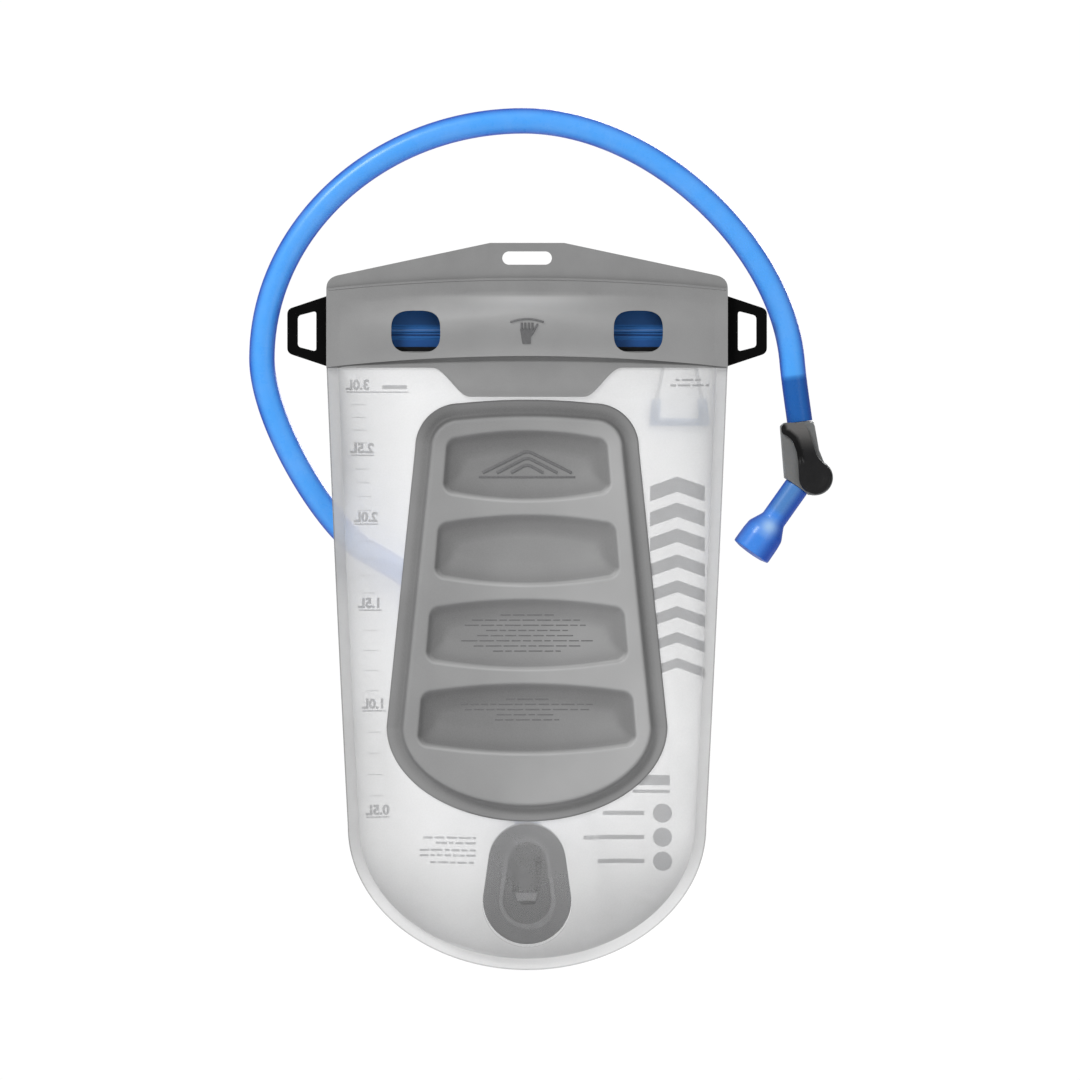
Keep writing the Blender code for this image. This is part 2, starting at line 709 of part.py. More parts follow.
def make_zip():
    """Both rails are extrusions: a tape, a neck, an undercut head and a tongue or its groove."""
    split = GAP / 2
    tongue_low = RAIL_GROOVE_Y
    tongue_high = HEAD_LOW_Y
    tape_top = TAPE_LOW_Y + TAPE
    upper = [
        (TAPE_LOW_Y, TAPE_REACH),
        (TAPE_LOW_Y, NECK_HALF),
        (RAIL_BACK_Y, NECK_HALF),
        (RAIL_BACK_Y, split),
        (tongue_low, split),
        (tongue_low, -TONGUE),
        (tongue_high, -TONGUE),
        (tongue_high, split),
        (HEAD_TOP_Y, split),
        (HEAD_TOP_Y, HEAD_HALF),
        (HEAD_LOW_Y, HEAD_HALF),
        (HEAD_LOW_Y, NECK_HALF),
        (tape_top, NECK_HALF),
        (tape_top, TAPE_REACH),
    ]
    lower = [
        (TAPE_LOW_Y, -TAPE_REACH),
        (TAPE_LOW_Y, -NECK_HALF),
        (RAIL_BACK_Y, -NECK_HALF),
        (RAIL_BACK_Y, -split),
        (tongue_low - GAP, -split),
        (tongue_low - GAP, -TONGUE - GAP),
        (tongue_high + GAP, -TONGUE - GAP),
        (tongue_high + GAP, -split),
        (HEAD_TOP_Y, -split),
        (HEAD_TOP_Y, -HEAD_HALF),
        (HEAD_LOW_Y, -HEAD_HALF),
        (HEAD_LOW_Y, -NECK_HALF),
        (tape_top, -NECK_HALF),
        (tape_top, -TAPE_REACH),
    ]
    for name, section in (("zip_rail_upper", upper), ("zip_rail_lower", lower)):
        placed = [(y, ZIP_Z + z) for y, z in section]
        add_object(name, bar(placed, -ZIP_HALF_LENGTH, ZIP_HALF_LENGTH), "zip_blue")


def make_end_tabs():
    for side, name in ((-1, "zip_end_tab_left"), (1, "zip_end_tab_right")):
        outer = [
            (side * TAB_INNER_X, TAB_Z - TAB_INNER_HALF),
            (side * TAB_OUTER_X, TAB_Z - TAB_OUTER_HALF),
            (side * TAB_OUTER_X, TAB_Z + TAB_OUTER_HALF),
            (side * TAB_INNER_X, TAB_Z + TAB_INNER_HALF),
        ]
        hole = [
            (side * TAB_HOLE_INNER_X, TAB_Z - TAB_HOLE_INNER_HALF),
            (side * TAB_HOLE_OUTER_X, TAB_Z - TAB_HOLE_OUTER_HALF),
            (side * TAB_HOLE_OUTER_X, TAB_Z + TAB_HOLE_OUTER_HALF),
            (side * TAB_HOLE_INNER_X, TAB_Z + TAB_HOLE_INNER_HALF),
        ]
        tab = slab(
            rounded(outer, TAB_CORNER),
            TAPE_LOW_Y,
            TAPE_LOW_Y + TAB_THICKNESS,
            [rounded(hole, TAB_HOLE_CORNER)],
        )
        add_object(name, tab, "tab_black")


def make_slider():
    """A channel that grips both heads from the front, with a lug for the pull's cord."""
    clear = SLIDER_CLEARANCE
    roof_low = HEAD_TOP_Y + clear
    roof_high = roof_low + SLIDER_WALL
    inner = HEAD_HALF + clear
    outer = inner + SLIDER_WALL
    lip_low = TAPE_LOW_Y + TAPE + clear
    lip_high = HEAD_LOW_Y - clear
    lip = NECK_HALF + clear
    half = [
        (roof_high, outer),
        (lip_low, outer),
        (lip_low, lip),
        (lip_high, lip),
        (lip_high, inner),
        (roof_low, inner),
    ]
    section = half + [(y, -z) for y, z in reversed(half)]
    section = [(y, ZIP_Z + z) for y, z in section]
    half_length = SLIDER_LENGTH / 2
    channel = bar(section, SLIDER_X - half_length, SLIDER_X + half_length)
    slider = add_object("zip_slider", channel, "slider_black")
    top = PULL_AXIS_Y + CORD_R + clear + LUG_WALL
    lug = [
        (roof_low + SLIDER_WALL / 2, LUG_FOOT_HALF),
        (top - LUG_SHOULDER, LUG_SHOULDER_HALF),
        (top, LUG_TOP_HALF),
    ]
    lug = lug + [(y, -z) for y, z in reversed(lug)]
    lug = [(y, ZIP_Z + z) for y, z in lug]
    lug_body = add_guide("slider_lug", bar(lug, SLIDER_X - LUG_HALF, SLIDER_X + LUG_HALF))
    eye_start = (SLIDER_X - 2 * LUG_HALF, PULL_AXIS_Y, ZIP_Z)
    eye = rod(eye_start, (1, 0, 0), CORD_R + clear, 4 * LUG_HALF)
    boolean(slider, "UNION", lug_body)
    boolean(slider, "DIFFERENCE", add_guide("slider_eye", eye))


def make_pull():
    """A cord through the slider's lug, and a U-shaped grip on its two ends."""
    legs = []
    for side in (-1, 1):
        top = Vector((SLIDER_X + side * CORD_HALF_TOP, PULL_AXIS_Y, ZIP_Z))
        low = Vector((SLIDER_X + side * CORD_HALF_LOW, GRIP_Y, GRIP_TOP_Z + GAP))
        inner = top - Vector((side * CORD_TURN, 0.0, 0.0))
        outer = top + (low - top).normalized() * CORD_TURN
        legs.append(bezier(inner, top, top, outer, 4) + [outer, low])
    path = legs[0][::-1] + legs[1]
    add_object("pull_cord", skin(sweep(path, CORD_R, 8)), "cord_grey")
    inner_low = GRIP_HALF_LOW - GRIP_LEG
    right = [
        (GRIP_HALF_LOW - GRIP_CORNER, GRIP_LOW_Z),
        (GRIP_HALF_LOW, GRIP_LOW_Z + GRIP_CORNER),
        (GRIP_HALF_TOP, GRIP_TOP_Z),
        (GRIP_HALF_TOP - GRIP_LEG, GRIP_TOP_Z),
        (inner_low, GRIP_LOW_Z + GRIP_BAR + GRIP_INNER_RISE),
        (inner_low - GRIP_INNER_RUN, GRIP_LOW_Z + GRIP_BAR),
    ]
    outline = [(SLIDER_X + x, z) for x, z in right]
    outline += [(SLIDER_X - x, z) for x, z in reversed(right)]
    grip = slab(outline, GRIP_Y - GRIP_THICKNESS / 2, GRIP_Y + GRIP_THICKNESS / 2)
    add_object("pull_grip", grip, "grip_blue")


# ---------------------------------------------------------------- back plate


def plate_outline(inset):
    """The plate's outline, moved inwards: arched top, round corners, tapered sides, oval bottom."""
    corner_z = PLATE_TOP - PLATE_TOP_DROP - PLATE_CORNER
    half = []
    for x in spread(0.0, PLATE_CORNER_X, 3)[:-1]:
        half.append((x, PLATE_TOP - inset - PLATE_TOP_DROP * (x / PLATE_CORNER_X) ** 2))
    for angle in spread(pi / 2, 0.0, 6):
        radius = PLATE_CORNER - inset
        half.append((PLATE_CORNER_X + radius * cos(angle), corner_z + radius * sin(angle)))
    for angle in spread(0.0, pi / 2, 10):
        x = (PLATE_HALF_LOW - inset) * cos(angle)
        half.append((x, PLATE_ELLIPSE_Z - (PLATE_ELLIPSE_RISE - inset) * sin(angle)))
    half[-1] = (0.0, half[-1][1])
    return mirrored(half)


def recess_outline(index, grow=0.0):
    """One of the plate's recesses: arched top and bottom edges between leaning round ends."""
    top = RECESS_TOP - RECESS_PITCH * index + grow
    low = RECESS_TOP - RECESS_PITCH * index - RECESS_HEIGHT - grow
    top_half = RECESS_HALF + RECESS_GROWTH * index + grow - RECESS_LEAN
    low_half = top_half + 2 * RECESS_LEAN
    corner = RECESS_CORNER + grow
    half = []
    for x in spread(0.0, top_half - corner, 3):
        half.append((x, top - RECESS_ARCH * (x / top_half) ** 2))
    end_z = half[-1][1]
    for angle in spread(pi / 2, 0.0, 3)[1:]:
        half.append((top_half - corner + corner * cos(angle), end_z - corner * (1 - sin(angle))))
    low_x = spread(0.0, low_half - corner, 3)
    low_end_z = low + RECESS_ARCH * (low_x[-1] / low_half) ** 2
    for angle in spread(0.0, pi / 2, 3):
        z = low_end_z + corner * (1 - sin(angle))
        half.append((low_half - corner + corner * cos(angle), z))
    for x in reversed(low_x[:-1]):
        half.append((x, low + RECESS_ARCH * (x / low_half) ** 2))
    return mirrored(half)


def make_plate():
    front_y = PLATE_BACK_Y - PLATE_FLANGE - PLATE_HEIGHT
    plate = add_object(
        "back_plate",
        slab(plate_outline(0.0), PLATE_BACK_Y - PLATE_FLANGE, PLATE_BACK_Y),
        "grey_plate",
    )
    field = slab(plate_outline(PLATE_RIM), front_y, PLATE_BACK_Y - PLATE_FLANGE / 2)
    boolean(plate, "UNION", add_guide("plate_field", field))
    hollow = slab(
        plate_outline(PLATE_RIM + PLATE_WALL),
        front_y + PLATE_WALL,
        PLATE_BACK_Y + PLATE_WALL,
        [recess_outline(i, PLATE_WALL) for i in range(RECESS_COUNT)],
    )
    boolean(plate, "DIFFERENCE", add_guide("plate_hollow", hollow))
    for i in range(RECESS_COUNT):
        pocket = slab(recess_outline(i), front_y - PLATE_WALL, front_y + RECESS_DEPTH)
        boolean(plate, "DIFFERENCE", add_guide(f"plate_recess_{i}", pocket))


# ---------------------------------------------------------------- port and check valve


def teardrop(inset):
    """The port's outline: the hull of its two circles."""
    lean = (PORT_LOW_R - PORT_TOP_R) / (PORT_TOP_Z - PORT_LOW_Z)
    half = []
    for angle in spread(pi / 2, lean, 7):
        radius = PORT_TOP_R - inset
        half.append((radius * cos(angle), PORT_TOP_Z + radius * sin(angle)))
    for angle in spread(lean, -pi / 2, 10):
        radius = PORT_LOW_R - inset
        half.append((radius * cos(angle), PORT_LOW_Z + radius * sin(angle)))
    half[0] = (0.0, half[0][1])
    half[-1] = (0.0, half[-1][1])
    return mirrored(half)


def make_port():
    flange_top = PORT_FLANGE_Y + PORT_FLANGE
    root_y = flange_top - PORT_FLANGE / 2
    base = add_object("port_base", slab(teardrop(0.0), PORT_FLANGE_Y, flange_top), "port_grey")
    pedestal = slab(teardrop(PEDESTAL_INSET), root_y, flange_top + PEDESTAL)
    axis = Vector((0.0, SOCKET_Y, SOCKET_LOW))
    height = SOCKET_TOP - SOCKET_LOW
    socket = rod(axis, (0, 0, 1), SOCKET_R, height, 24)
    web = slab(block(-SOCKET_R, SOCKET_R, SOCKET_LOW, SOCKET_TOP), root_y, SOCKET_Y)
    boolean(base, "UNION", add_guide("port_pedestal", pedestal))
    boolean(base, "UNION", add_guide("port_socket", socket))
    boolean(base, "UNION", add_guide("port_web", web))
    up = (0, 0, 1)
    over = CUT_OVER
    bore = rod((0, SOCKET_Y, SEAT_TOP), up, BORE_R, SOCKET_TOP - SEAT_TOP + over, 24)
    chamber_length = SEAT_LOW - SOCKET_LOW + over
    chamber = rod((0, SOCKET_Y, SOCKET_LOW - over), up, BORE_R, chamber_length, 24)
    seat_length = SEAT_TOP - SEAT_LOW + 2 * over
    seat = rod((0, SOCKET_Y, SEAT_LOW - over), up, SEAT_R, seat_length, 24)
    inlet = rod((0, WELD_Y, INLET_Z), (0, 1, 0), INLET_R, SOCKET_Y - WELD_Y, 16)
    slot_half = LATCH_HALF + GAP
    slot_reach = LATCH_THICKNESS / 2 + GAP
    latch_slot = block(-slot_half, slot_half, LATCH_Z - slot_reach, LATCH_Z + slot_reach)
    slot = slab(latch_slot, flange_top + LATCH_SLOT_LIFT, SOCKET_Y + SOCKET_R + over)
    names = ("port_bore", "port_chamber", "port_seat", "port_inlet", "port_latch_slot")
    for name, cutter in zip(names, (bore, chamber, seat, inlet, slot)):
        boolean(base, "DIFFERENCE", add_guide(name, cutter))


def make_plug():
    profile = [(PLUG_HEAD_R, 0.0), (PLUG_HEAD_R, PLUG_HEAD), (PLUG_R, PLUG_HEAD), (PLUG_R, PLUG_LENGTH)]
    origin = Vector((0.0, SOCKET_Y, SOCKET_LOW - PLUG_HEAD - GAP))
    add_object("port_plug", lathe(profile, origin, (0, 0, 1)), "port_grey")


def make_check_valve():
    up = (0, 0, 1)
    ring = [(RING_BORE_R, 0.0), (RING_R, 0.0), (RING_R, -RING_HEIGHT), (RING_BORE_R, -RING_HEIGHT)]
    ring_origin = Vector((0.0, SOCKET_Y, SEAT_LOW - GAP))
    add_object("seat_ring", lathe(ring, ring_origin, up, 20, loop=True), "seal_black")
    profile = [
        (POPPET_R, -POPPET_HEAD),
        (POPPET_R, -POPPET_CONE),
        (POPPET_FLAT_R, 0.0),
        (STEM_R, 0.0),
        (STEM_R, STEM_LENGTH - STEM_CAP - STEM_CAP_CONE),
        (STEM_CAP_R, STEM_LENGTH - STEM_CAP),
        (STEM_CAP_R, STEM_LENGTH),
    ]
    poppet_origin = Vector((0.0, SOCKET_Y, POPPET_TOP))
    add_object("poppet", lathe(profile, poppet_origin, up), "poppet_white")
    low = SOCKET_LOW + PLUG_LENGTH - PLUG_HEAD + SPRING_WIRE
    high = POPPET_TOP - POPPET_HEAD - GAP - SPRING_WIRE
    path = []
    for turned in spread(0.0, SPRING_TURNS, SPRING_TURN_STEPS * SPRING_TURNS):
        angle = 2.0 * pi * turned
        z = low + (high - low) * turned / SPRING_TURNS
        path.append(Vector((SPRING_R * cos(angle), SOCKET_Y + SPRING_R * sin(angle), z)))
    add_object("poppet_spring", skin(sweep(path, SPRING_WIRE, 6)), "spring_steel")


def make_latch():
    """A thumb latch: a plate with an oval hole round the connector, and a round head in front."""
    low_y = PORT_FLANGE_Y + PORT_FLANGE + LATCH_SLOT_LIFT + LATCH_TRAVEL + GAP
    front_y = SOCKET_Y + SOCKET_R
    shoulder_y = SOCKET_Y + LATCH_SHOULDER
    z_low = LATCH_Z - LATCH_THICKNESS / 2
    z_high = LATCH_Z + LATCH_THICKNESS / 2
    half = [
        (LATCH_HALF, low_y),
        (LATCH_HALF, shoulder_y),
        (LATCH_NECK_HALF, front_y),
        (LATCH_NECK_HALF, front_y + LATCH_TRAVEL + LATCH_JOIN),
    ]
    outline = half + [(-x, y) for x, y in reversed(half)]
    plate = skin([[(x, y, z) for x, y in outline] for z in (z_low, z_high)])
    latch = add_object("release_latch", plate, "port_grey")
    hole = []
    for sign, centre in ((1, SOCKET_Y + LATCH_TRAVEL), (-1, SOCKET_Y)):
        for angle in spread(0.0, pi, 10):
            hole.append((sign * BORE_R * cos(angle), centre + sign * BORE_R * sin(angle)))
    rings = [[(x, y, z) for x, y in hole] for z in (z_low - CUT_OVER, z_high + CUT_OVER)]
    head_y = front_y + LATCH_TRAVEL + GAP
    head = rod((0.0, head_y, LATCH_Z), (0, 1, 0), LATCH_HEAD_R, LATCH_HEAD, 20)
    boolean(latch, "DIFFERENCE", add_guide("latch_hole", skin(rings)))
    boolean(latch, "UNION", add_guide("latch_head", head))


# ---------------------------------------------------------------- hose and its ends


def make_connector():
    """A spigot with a seal groove, a latch groove, a collar and a barb, on the socket's axis."""
    origin = Vector((0.0, SOCKET_Y, 0.0))
    outer = [(SPIGOT_R - 0.8 * MM, SPIGOT_LOW), (SPIGOT_R, SPIGOT_LOW + 0.8 * MM)]
    for low, high, radius in (SEAL_GROOVE, LATCH_GROOVE):
        outer += [(SPIGOT_R, low), (radius, low), (radius, high), (SPIGOT_R, high)]
    low, high, radius = CONNECTOR_COLLAR
    outer += [(SPIGOT_R, low), (radius, low), (radius, high)]
    stem_r = BARB_R - BARB_STEP
    outer.append((stem_r, high + 0.2 * MM))
    for height in CONNECTOR_BARBS:
        outer += [(stem_r, height), (BARB_R, height)]
    outer.append((BARB_R - 0.8 * MM, CONNECTOR_TOP))
    inner = [(CHANNEL_R, CONNECTOR_TOP), (CHANNEL_R, SPIGOT_LOW)]
    body = lathe(outer + inner, origin, (0, 0, 1), 20, loop=True)
    add_object("hose_connector", body, "port_grey")
    seal_z = (SEAL_GROOVE[0] + SEAL_GROOVE[1]) / 2
    seal = ring_seal(SEAL_R, SEAL_CORD_R, (0.0, SOCKET_Y, seal_z), (0, 0, 1))
    add_object("connector_oring", seal, "seal_black")


def ring_seal(ring_r, cord_r, centre, axis):
    """An O-ring."""
    angles = spread(0.0, 2 * pi, 8)[:-1]
    profile = [(ring_r + cord_r * cos(a), cord_r * sin(a)) for a in angles]
    return lathe(profile, Vector(centre), axis, 20, loop=True)


def hose_path():
    """The drinking hose: up from the port, left past the bag's edge, over the top and down again."""

    def at(x, depth, z):
        return Vector((x * MM, depth, z * MM))

    near = SOCKET_Y
    far = HOSE_LOOP_Y
    socket_exit = at(0, near, -275)
    bag_exit = at(-91.5, near, -169)
    left = at(-150.6, far, -60)
    top = at(-2, far, 74)
    right = at(150.3, far, -60)
    tip = HOSE_END - VALVE_IN * 4 * GAP
    path = [at(0, near, HOSE_START_Z / MM), at(0, near, -303)]
    path += bezier(socket_exit, at(0, near, -225), at(-56.5, near, -188.3), bag_exit, 9)
    path += bezier(bag_exit, at(-113.4, near - 1.5 * MM, -156.9), at(-150.6, far, -96), left, 8)
    path += bezier(left, at(-150.6, far, 14), at(-84, far, 74), top, 9)
    path += bezier(top, at(70, far, 74), at(143.7, far, 6), right, 10)
    path += bezier(right, at(151.3, far, -72), at(153.2, far, -84), tip, 3)
    path.append(tip)
    return path


def make_hose():
    add_object("hose", pipe(hose_path(), HOSE_R, HOSE_BORE_R, 12), "hose_blue")


def arc_points(radius, first, last, count):
    """Points about the rotor's axis; angles in degrees from +X towards +Z."""
    return [
        (ROTOR_X + radius * cos(radians(a)), ROTOR_Z + radius * sin(radians(a)))
        for a in spread(first, last, count)
    ]


def make_valve():
    across = Vector((-VALVE_OUT.z, 0.0, VALVE_OUT.x))
    face_low = OUTLET - across * OUTLET_HALF
    face_high = OUTLET + across * OUTLET_HALF
    outline = [
        (143.7 * MM, -98.2 * MM),
        (145.6 * MM, -96.5 * MM),
        (161.4 * MM, -96.3 * MM),
        (162.9 * MM, -98.0 * MM),
        (165.4 * MM, -112.0 * MM),
    ]
    outline += arc_points(VALVE_SHELL_R, 60.0, -105.0, 9)
    right, left = sorted((face_low, face_high), key=lambda p: -p.x)
    outline += [(right.x, right.z), (left.x, left.z)]
    low_y = HOSE_LOOP_Y - VALVE_HALF_DEPTH
    high_y = HOSE_LOOP_Y + VALVE_HALF_DEPTH
    body = add_object("valve_body", slab(outline, low_y, high_y), "valve_grey")
    inlet_start = HOSE_END + VALVE_IN * 3.0 * MM
    inlet_profile = [
        (BARB_R - 0.7 * MM, 0.0),
        (BARB_R - 0.7 * MM, 10.0 * MM),
        (BARB_R - 0.2 * MM, 10.0 * MM),
        (BARB_R - 0.7 * MM, 17.0 * MM),
        (BARB_R - 0.2 * MM, 17.0 * MM),
        (BARB_R - 0.9 * MM, BARB_LENGTH + 3.0 * MM),
    ]
    inlet = lathe(inlet_profile, inlet_start, -VALVE_IN)
    outlet_start = OUTLET - VALVE_OUT * 3.0 * MM
    outlet_profile = [
        (BARB_R - 0.5 * MM, 0.0),
        (BARB_R - 0.5 * MM, 10.0 * MM),
        (BARB_R, 10.0 * MM),
        (BARB_R - 0.7 * MM, OUTLET_BARB_LENGTH + 3.0 * MM),
    ]
    outlet = lathe(outlet_profile, outlet_start, VALVE_OUT)
    boolean(body, "UNION", add_guide("valve_inlet", inlet), add_guide("valve_outlet", outlet))
    cavity_start = (ROTOR_X, low_y - CUT_OVER, ROTOR_Z)
    cavity = rod(cavity_start, (0, 1, 0), ROTOR_CAVITY_R, CAVITY_DEPTH + CUT_OVER, 24)
    in_start = HOSE_END - VALVE_IN * (BARB_LENGTH + 2.0 * MM)
    in_length = BARB_LENGTH + 26.0 * MM
    in_channel = rod(in_start, VALVE_IN, CHANNEL_R * 0.8, in_length, 14)
    out_start = OUTLET - VALVE_OUT * 7.0 * MM
    out_channel = rod(out_start, VALVE_OUT, CHANNEL_R, OUTLET_BARB_LENGTH + 9.0 * MM, 14)
    boolean(
        body,
        "DIFFERENCE",
        add_guide("valve_cavity", cavity),
        add_guide("valve_in_channel", in_channel),
        add_guide("valve_out_channel", out_channel),
    )


def make_rotor():
    """A round plug with a flat side that lets the water by, a seal groove and a square neck."""
    low_y = HOSE_LOOP_Y - VALVE_HALF_DEPTH
    origin = Vector((ROTOR_X, low_y, ROTOR_Z))
    profile = [
        (ROTOR_NECK_R, -ROTOR_NECK),
        (ROTOR_NECK_R, 0.4 * MM),
        (ROTOR_R, 0.4 * MM),
        (ROTOR_R, 1.2 * MM),
        (ROTOR_R - 1.5 * MM, 1.2 * MM),
        (ROTOR_R - 1.5 * MM, 2.6 * MM),
        (ROTOR_R, 2.6 * MM),
        (ROTOR_R, 13.0 * MM),
    ]
    rotor = add_object("valve_rotor", lathe(profile, origin, (0, 1, 0), 24), "poppet_white")
    reach = 12.0 * MM
    side = block(ROTOR_X - reach, ROTOR_X - 2 * MM, ROTOR_Z - reach, ROTOR_Z + reach)
    passage = slab(side, low_y + 4.0 * MM, low_y + 11.0 * MM)
    boolean(rotor, "DIFFERENCE", add_guide("rotor_passage", passage))
    seal = ring_seal(ROTOR_SEAL_R, 0.45 * MM, (ROTOR_X, low_y + 1.9 * MM, ROTOR_Z), (0, 1, 0))
    add_object("rotor_oring", seal, "seal_black")


def make_lever():
    """A disc over the rotor with a paddle up to the hose's end, and a blind seat for the neck."""
    top_y = HOSE_LOOP_Y - VALVE_HALF_DEPTH - GAP
    outline = [
        (158.4 * MM, -98.4 * MM),
        (160.0 * MM, -101.0 * MM),
        (165.4 * MM, -116.5 * MM),
    ]
    outline += arc_points(LEVER_DISC_R, 66.0, -170.0, 14)
    outline += [
        (151.6 * MM, -110.5 * MM),
        (149.0 * MM, -104.0 * MM),
        (144.6 * MM, -102.6 * MM),
        (143.6 * MM, -99.2 * MM),
        (146.2 * MM, -96.9 * MM),
        (156.6 * MM, -96.9 * MM),
    ]
    body = slab(outline, top_y - LEVER_THICKNESS, top_y)
    lever = add_object("lever", body, "lever_black")
    seat_start = (ROTOR_X, top_y - LEVER_SEAT, ROTOR_Z)
    seat = rod(seat_start, (0, 1, 0), ROTOR_NECK_R + GAP, LEVER_SEAT + CUT_OVER, 20)
    boolean(lever, "DIFFERENCE", add_guide("lever_seat", seat))


def make_bite_valve():
    """A soft cup: a sleeve over the outlet barb, a cone, and a round head with a slit."""
    start = GAP
    profile = [
        (BITE_HEAD_R - BITE_WALL, BITE_LENGTH - BITE_WALL),
        (BITE_HEAD_R - BITE_WALL, BITE_NECK + 1.0 * MM),
        (BITE_BORE_R, BITE_STUB),
        (BITE_BORE_R, start),
        (BITE_STUB_R, start),
        (BITE_STUB_R, BITE_STUB),
        (BITE_HEAD_R - 0.5 * MM, BITE_NECK),
        (BITE_HEAD_R, BITE_NECK + 2.5 * MM),
        (BITE_HEAD_R, BITE_LENGTH - 1.5 * MM),
        (BITE_HEAD_R - 2.5 * MM, BITE_LENGTH),
    ]
    bite = add_object("bite_valve", lathe(profile, OUTLET, VALVE_OUT, 24), "bite_blue")
    tip = OUTLET + VALVE_OUT * (BITE_LENGTH + 1.0 * MM)
    across = Vector((VALVE_OUT.z, 0.0, -VALVE_OUT.x))
    deep = -VALVE_OUT * (BITE_WALL + 3.0 * MM)
    ring = []
    for u, v in ((-1, -1), (1, -1), (1, 1), (-1, 1)):
        ring.append(tip + across * BITE_SLIT / 2 * u + Vector((0.0, 0.4 * MM * v, 0.0)))
    slit = skin([ring, [p + deep for p in ring]])
    boolean(bite, "DIFFERENCE", add_guide("bite_slit", slit))


def main():
    for piece in list(bpy.data.objects):
        bpy.data.objects.remove(piece, do_unlink=True)
    make_films()
    make_header()
    make_collar()
    make_band()
    make_zip()
    make_end_tabs()
    make_slider()
    make_pull()
    make_plate()
    make_port()
    make_plug()
    make_check_valve()
    make_latch()
    make_connector()
    make_hose()
    make_valve()
    make_rotor()
    make_lever()
    make_bite_valve()


main()
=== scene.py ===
"""Looks of the hydration bladder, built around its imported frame. Units are metres, +Z is up.

-Y is the harness side, which faces the camera. Every piece is a mesh in frame coordinates with its
object at the origin, so a material's Object coordinates are metres in the frame as well.
"""

from math import atan2, cos, exp, hypot, pi, radians, sin, sqrt
from random import Random

import bmesh
import bpy
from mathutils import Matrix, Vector


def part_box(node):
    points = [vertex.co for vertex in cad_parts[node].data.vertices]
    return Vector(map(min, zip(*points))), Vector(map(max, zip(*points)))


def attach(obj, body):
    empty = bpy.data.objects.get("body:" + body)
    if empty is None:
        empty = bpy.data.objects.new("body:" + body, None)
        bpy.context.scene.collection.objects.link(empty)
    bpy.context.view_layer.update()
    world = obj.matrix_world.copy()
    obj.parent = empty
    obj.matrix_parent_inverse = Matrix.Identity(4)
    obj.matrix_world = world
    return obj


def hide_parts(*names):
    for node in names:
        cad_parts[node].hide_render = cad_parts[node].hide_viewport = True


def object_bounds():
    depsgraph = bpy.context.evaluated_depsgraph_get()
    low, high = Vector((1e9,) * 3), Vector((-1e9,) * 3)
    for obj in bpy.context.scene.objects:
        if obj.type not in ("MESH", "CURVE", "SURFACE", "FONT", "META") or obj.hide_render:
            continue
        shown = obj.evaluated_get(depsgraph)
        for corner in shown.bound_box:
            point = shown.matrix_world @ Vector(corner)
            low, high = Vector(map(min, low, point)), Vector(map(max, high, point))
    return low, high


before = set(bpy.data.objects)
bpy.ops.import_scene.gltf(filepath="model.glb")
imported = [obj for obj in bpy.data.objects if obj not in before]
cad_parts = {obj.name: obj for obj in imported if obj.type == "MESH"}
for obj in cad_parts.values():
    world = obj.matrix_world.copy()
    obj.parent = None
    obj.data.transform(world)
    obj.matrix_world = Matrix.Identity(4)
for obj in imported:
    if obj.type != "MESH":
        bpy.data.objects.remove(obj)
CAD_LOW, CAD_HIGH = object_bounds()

MM = 0.001
LOW, HIGH = 0, 1
X, Y, Z = 0, 1, 2
UP = Vector((0.0, 0.0, 1.0))
BOX = {name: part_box(name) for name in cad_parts}


def edge(node, side, axis):
    """One side of a CAD node's box."""
    return BOX[node][side][axis]


# Bag outline, as half widths from the middle plane x = 0
BAG_HALF_TOP = edge("header_sheet", HIGH, X)
BAG_HALF_LOW = 101.3 * MM
BAG_STRAIGHT_Z = -65.8 * MM
BAG_TAPER_Z = -325.0 * MM
BAG_BOTTOM_RISE = BAG_TAPER_Z - edge("back_film", LOW, Z)
TAPER_LINEAR = 10.3 * MM
WELD_WIDTH = 6.5 * MM

# Film surfaces
CAD_FILM = 0.8 * MM
FILM = 0.35 * MM
WELD_Y = (edge("back_film", HIGH, Y) + edge("front_film", LOW, Y)) / 2
BACK_FLAT_Y = edge("back_film", HIGH, Y) - CAD_FILM
FRONT_FLAT_Y = edge("front_film", LOW, Y) + CAD_FILM
BACK_BULGE = BACK_FLAT_Y - edge("back_film", LOW, Y)
BACK_RISE_START = -62.0 * MM
BACK_RISE_LENGTH = 22.0 * MM
BACK_SIDE_LENGTH = 17.0 * MM
FRONT_BULGE = 15.0 * MM
FRONT_RISE_START = -64.0 * MM
FRONT_RISE_LENGTH = 60.0 * MM
FRONT_SIDE_LENGTH = 45.0 * MM
PUCKER = 0.22 * MM

# Header, collar and carry band
SHEET = edge("header_sheet", HIGH, Y) - edge("header_sheet", LOW, Y)
HEADER_TOP = edge("header_sheet", HIGH, Z)
HEADER_LOW = edge("header_sheet", LOW, Z)
HEADER_TOP_HALF = 21.0 * MM
HEADER_SHOULDER = (106.0 * MM, -13.3 * MM)
HEADER_CORNER = 7.3 * MM
SLOT_WIDTH = 28.0 * MM
SLOT_HEIGHT = 7.5 * MM
COLLAR_TOP = edge("collar_panel", HIGH, Z)
COLLAR_SIDE_Z = -65.8 * MM
COLLAR_TAB_Z = edge("collar_panel", LOW, Z)
COLLAR_TAB_HALF = 32.0 * MM
COLLAR_SLOPE_X = 53.5 * MM
COLLAR_LIFT = 0.8 * MM
BAND_INNER_Y = edge("handle_band", HIGH, Y)
BAND_BOW = 12.0 * MM
BAND_THICKNESS = BAND_INNER_Y - BAND_BOW - edge("handle_band", LOW, Y)
BAND_SLACK = 0.78  # share of its bow that the soft band keeps
BAND_WELDED_X = 106.0 * MM
BAND_TOP_MIDDLE = -15.0 * MM
BAND_TOP_SIDE = -21.0 * MM
BAND_LOW_MIDDLE = -59.2 * MM
